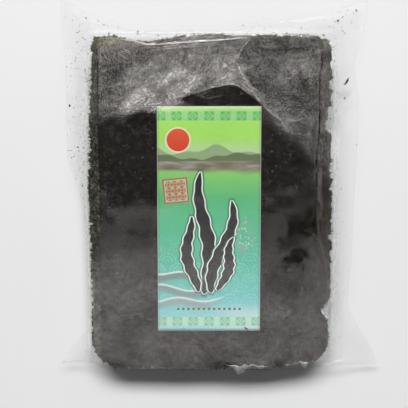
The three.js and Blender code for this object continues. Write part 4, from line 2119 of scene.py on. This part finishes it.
@dataclass
class Crumbs:
    """Loose flakes of nori that lie between the films round the block, and a few on the label.

    A chosen flake is its place in the block's plan and its length, in millimetres, and its direction.
    """

    film: Object
    stack: NoriStack
    count: int = 640
    corners: int = 6
    thickness: float = 0.12 * MM
    largest: float = 3.2 * MM
    label_top: float = 0.70 * MM
    on_label: tuple[tuple[float, float, float, float], ...] = (
        (29.0, -101.5, 4.6, -0.6),
        (-22.0, -102.4, 1.8, 0.2),
        (-30.5, 20.0, 1.6, 1.2),
    )
    beside: tuple[tuple[float, float, float, float], ...] = (
        (112.0, 100.5, 8.0, 1.05),
        (110.4, 98.2, 3.6, 0.3),
    )
    shares: tuple[float, ...] = (0.48, 0.16, 0.14, 0.08, 0.14)
    spread: float = 6.0 * MM
    ear_reach: float = 20.0 * MM
    seed: int = 23

    def build(self) -> None:
        """Makes all the crumbs as one joined mesh, in place."""
        draw = np.random.default_rng(self.seed)
        mesh = self.film.data
        corners = [face.vertices for face in mesh.polygons]
        tree = BVHTree.FromPolygons([vert.co for vert in mesh.vertices], corners)
        template = Pieces.disc(self.corners, 0.5)
        flat = Pieces.points(template)
        places = self._chosen(flat, tree, draw)
        while len(places) < self.count:
            spot = self._spot(draw)
            height = self._between_films(tree, spot)
            if height is not None:
                size = min(draw.lognormal(-0.35, 0.55) * MM, self.largest)
                turn, slim = draw.uniform(0.0, math.pi), draw.uniform(0.3, 1.0)
                places.append(self._flake(flat, size, draw, turn, slim) + np.array([*spot, height]))
        joined = Pieces.copies(template, places)
        tint = np.repeat(draw.uniform(0.0, 1.0, (self.count, 2)), len(flat), axis=0)
        Pieces.store(joined, "fringe", tint[:, 0])
        Pieces.store(joined, "olive", 0.6 * tint[:, 1] ** 3)
        Pieces.add("crumbs", joined, NoriFinish("nori_crumbs", 1.3).material(), Slot.NORI)

    def _chosen(self, flat: Array, tree: BVHTree, draw: Chance) -> list[Array]:
        """The larger flakes that lie at chosen places: on the label and beside the block.

        Args:
            flat: The points of a small disc.
            tree: The film.
            draw: Source of chance.

        Returns:
            The points of each flake.
        """
        centre = np.array(self.stack.form.centre)
        places = []
        for x, y, length, turn in self.on_label:
            height = float(self.stack.surface(x * MM, y * MM)) + self.label_top
            middle = np.array([x * MM + centre[0], y * MM + centre[1], height])
            places.append(self._flake(flat, length * MM, draw, turn, 0.35) + middle)
        for x, y, length, turn in self.beside:
            spot = np.array([x, y]) * MM + centre
            height = self._between_films(tree, spot)
            if height is not None:
                places.append(self._flake(flat, length * MM, draw, turn, 0.22) + np.array([*spot, height]))
        return places

    def _spot(self, draw: Chance) -> Array:
        """A place for a flake, likeliest along the left edge.

        Args:
            draw: Source of chance.

        Returns:
            A place in plan.
        """
        half = np.array([self.stack.form.half_width, self.stack.form.half_length])
        out = draw.exponential(1.0) * self.spread
        along = draw.uniform(-1.0, 1.0)
        edge = list(Edge)[draw.choice(len(Edge), p=self.shares)]
        if edge is Edge.LEFT:
            plan = [-half[0] - 1.6 * out, half[1] * (0.45 + 0.55 * along)]
        elif edge is Edge.RIGHT:
            plan = [half[0] + out, half[1] * along]
        elif edge is Edge.TOP:
            plan = [half[0] * along, half[1] + out]
        elif edge is Edge.BOTTOM:
            plan = [half[0] * along, -half[1] - 0.5 * out]
        else:
            plan = draw.choice([-1.0, 1.0], 2) * (half + draw.uniform(0.0, 1.0, 2) * self.ear_reach)
        return np.array(plan) + np.array(self.stack.form.centre)

    @staticmethod
    def _between_films(tree: BVHTree, spot: Array) -> float | None:
        """Finds room for a flake between the films.

        Args:
            tree: The film.
            spot: A place in plan.

        Returns:
            Height just above the lower film, or nothing where there are no two films.
        """
        down = Vector((0.0, 0.0, -1.0))
        upper = tree.ray_cast(Vector((*spot, 0.1)), down)[0]
        if upper is None:
            return None
        lower = tree.ray_cast(upper - Vector((0.0, 0.0, 1e-5)), down)[0]
        if lower is None:
            return None
        return lower.z + min(0.5 * (upper.z - lower.z), 0.3 * MM)

    def _flake(self, flat: Array, size: float, draw: Chance, turn: float, slim: float) -> Array:
        """Points of one thin ragged flake about its middle, from a small disc.

        Args:
            flat: The disc's points.
            size: About the flake's length.
            draw: Source of chance.
            turn: The direction of its length.
            slim: About its width as a share of its length.

        Returns:
            One row for each point.
        """
        radius = np.hypot(flat[:, 0], flat[:, 1])
        angle = np.arctan2(flat[:, 1], flat[:, 0])
        corner = np.round(angle / (2.0 * math.pi) * self.corners).astype(int) % self.corners
        reach = radius * size * draw.uniform(0.25, 0.65, self.corners)[corner]
        curl = 0.15 * size * np.abs(draw.uniform(-1.0, 1.0, self.corners))[corner] * radius
        along, across = reach * np.cos(angle), reach * np.sin(angle) * slim
        x = along * math.cos(turn) - across * math.sin(turn)
        y = along * math.sin(turn) + across * math.cos(turn)
        return np.stack([x, y, curl + flat[:, 2] * self.thickness], axis=1)


@dataclass(frozen=True)
class Lamp:
    """A flat soft lamp that faces a point on the floor, with an even glow over its face.

    A card shows only in gloss, and adds no light to the floor.
    """

    name: str
    place: tuple[float, float, float]
    size: Point
    radiance: float
    faces: Point
    card: bool
    tint: Colour = (1.0, 1.0, 1.0)

    def build(self) -> None:
        """Puts the lamp in the scene."""
        light = bpy.data.lights.new(self.name, "AREA")
        light.color = self.tint
        light.shape = "RECTANGLE"
        light.size, light.size_y = self.size
        light.energy = self.radiance * math.pi * self.size[0] * self.size[1]
        holder = bpy.data.objects.new(self.name, light)
        holder.location = self.place
        away = Vector(self.place) - Vector((*self.faces, 0.0))
        holder.rotation_euler = away.to_track_quat("Z", "Y").to_euler()
        holder.visible_diffuse = not self.card
        bpy.context.scene.collection.objects.link(holder)


@dataclass
class Studio:
    """The floor, the light and the camera."""

    form: Form
    lens: float = 82.0
    distance: float = 752.0 * MM
    tilt: float = math.radians(6.9)
    aim: Point = (-5.5 * MM, 1.4 * MM)
    sensor: float = 36.0
    floor_half: float = 6.0
    floor_tones: tuple[Colour, Colour] = ((0.845, 0.845, 0.85), (0.865, 0.865, 0.87))
    lamps: tuple[Lamp, ...] = (
        Lamp("key_softbox", (-0.3, 6.55, 8.25), (6.2, 2.6), 24.6, (0.0, 0.0), False),
        Lamp("top_card", (0.0, 0.60, 1.3), (1.9, 0.95), 2.18, (0.0, 0.60), True, (1.0, 0.955, 0.92)),
        Lamp("front_card", (0.0, -0.32, 1.0), (0.70, 0.34), 1.35, (0.0, -0.32), True, (0.99, 0.975, 1.0)),
        Lamp("right_card", (0.55, 0.03, 1.3), (0.45, 0.50), 1.15, (0.55, 0.03), True, (1.0, 0.97, 0.97)),
    )

    def build(self) -> None:
        """Sets up the floor, the lamps, the sky and the camera."""
        self._floor()
        for lamp in self.lamps:
            lamp.build()
        self._sky()
        self._camera()
        bpy.context.scene.view_settings.view_transform = "Standard"

    def _floor(self) -> None:
        """A plain pale floor."""
        bm = bmesh.new()
        bmesh.ops.create_grid(bm, x_segments=8, y_segments=8, size=self.floor_half)
        mesh = Pieces.mesh(bm)
        graph = new_graph("pale_floor")
        tone = graph.mix(*self.floor_tones, graph.noise(graph.place(), 60.0 * MM, 3.0))
        mesh.materials.append(graph.finish(graph.principled({"Base Color": tone, "Roughness": 0.55})))
        floor = bpy.data.objects.new("floor", mesh)
        bpy.context.scene.collection.objects.link(floor)

    @staticmethod
    def _sky() -> None:
        """A sky that is pale at the horizon and dark overhead, like a room round a table."""
        world = bpy.data.worlds.new("room")
        bpy.context.scene.world = world
        graph = Graph(world)
        direction = graph.wire("TexCoord", None, None, "Generated")
        height = graph.wire("SeparateXYZ", None, {0: direction}, "Z")
        tones = [(0.0, (0.36, 0.36, 0.37)), (0.35, (0.20, 0.20, 0.21)), (0.75, (0.03, 0.03, 0.03))]
        tone = graph.ramp(height, tones)
        light = graph.wire("Background", None, {"Color": tone})
        graph.node("OutputWorld", None, {"Surface": light})

    def _camera(self) -> None:
        """A camera that looks down on the label as the photograph looks at it."""
        data = bpy.data.cameras.new("camera")
        data.lens = self.lens
        data.sensor_width = self.sensor
        camera = bpy.data.objects.new("camera", data)
        centre = self.form.centre
        aim = Vector((centre[0] + self.aim[0], centre[1] + self.aim[1], self.form.height))
        back = Vector((0.0, math.sin(self.tilt), math.cos(self.tilt)))
        camera.location = aim + back * self.distance
        camera.rotation_euler = (-self.tilt, 0.0, 0.0)
        bpy.context.scene.collection.objects.link(camera)
        bpy.context.scene.camera = camera


def main() -> None:
    """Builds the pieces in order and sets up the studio."""
    logging.basicConfig(level=logging.INFO)
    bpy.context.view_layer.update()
    form = Form()
    stack = NoriStack(form)
    film = FilmBag(form, stack).build()
    stack.build()
    FilmFlaps(form).build()
    Label(stack).build()
    Crumbs(film, stack).build()
    Studio(form).build()


if __name__ == "__main__":
    main()
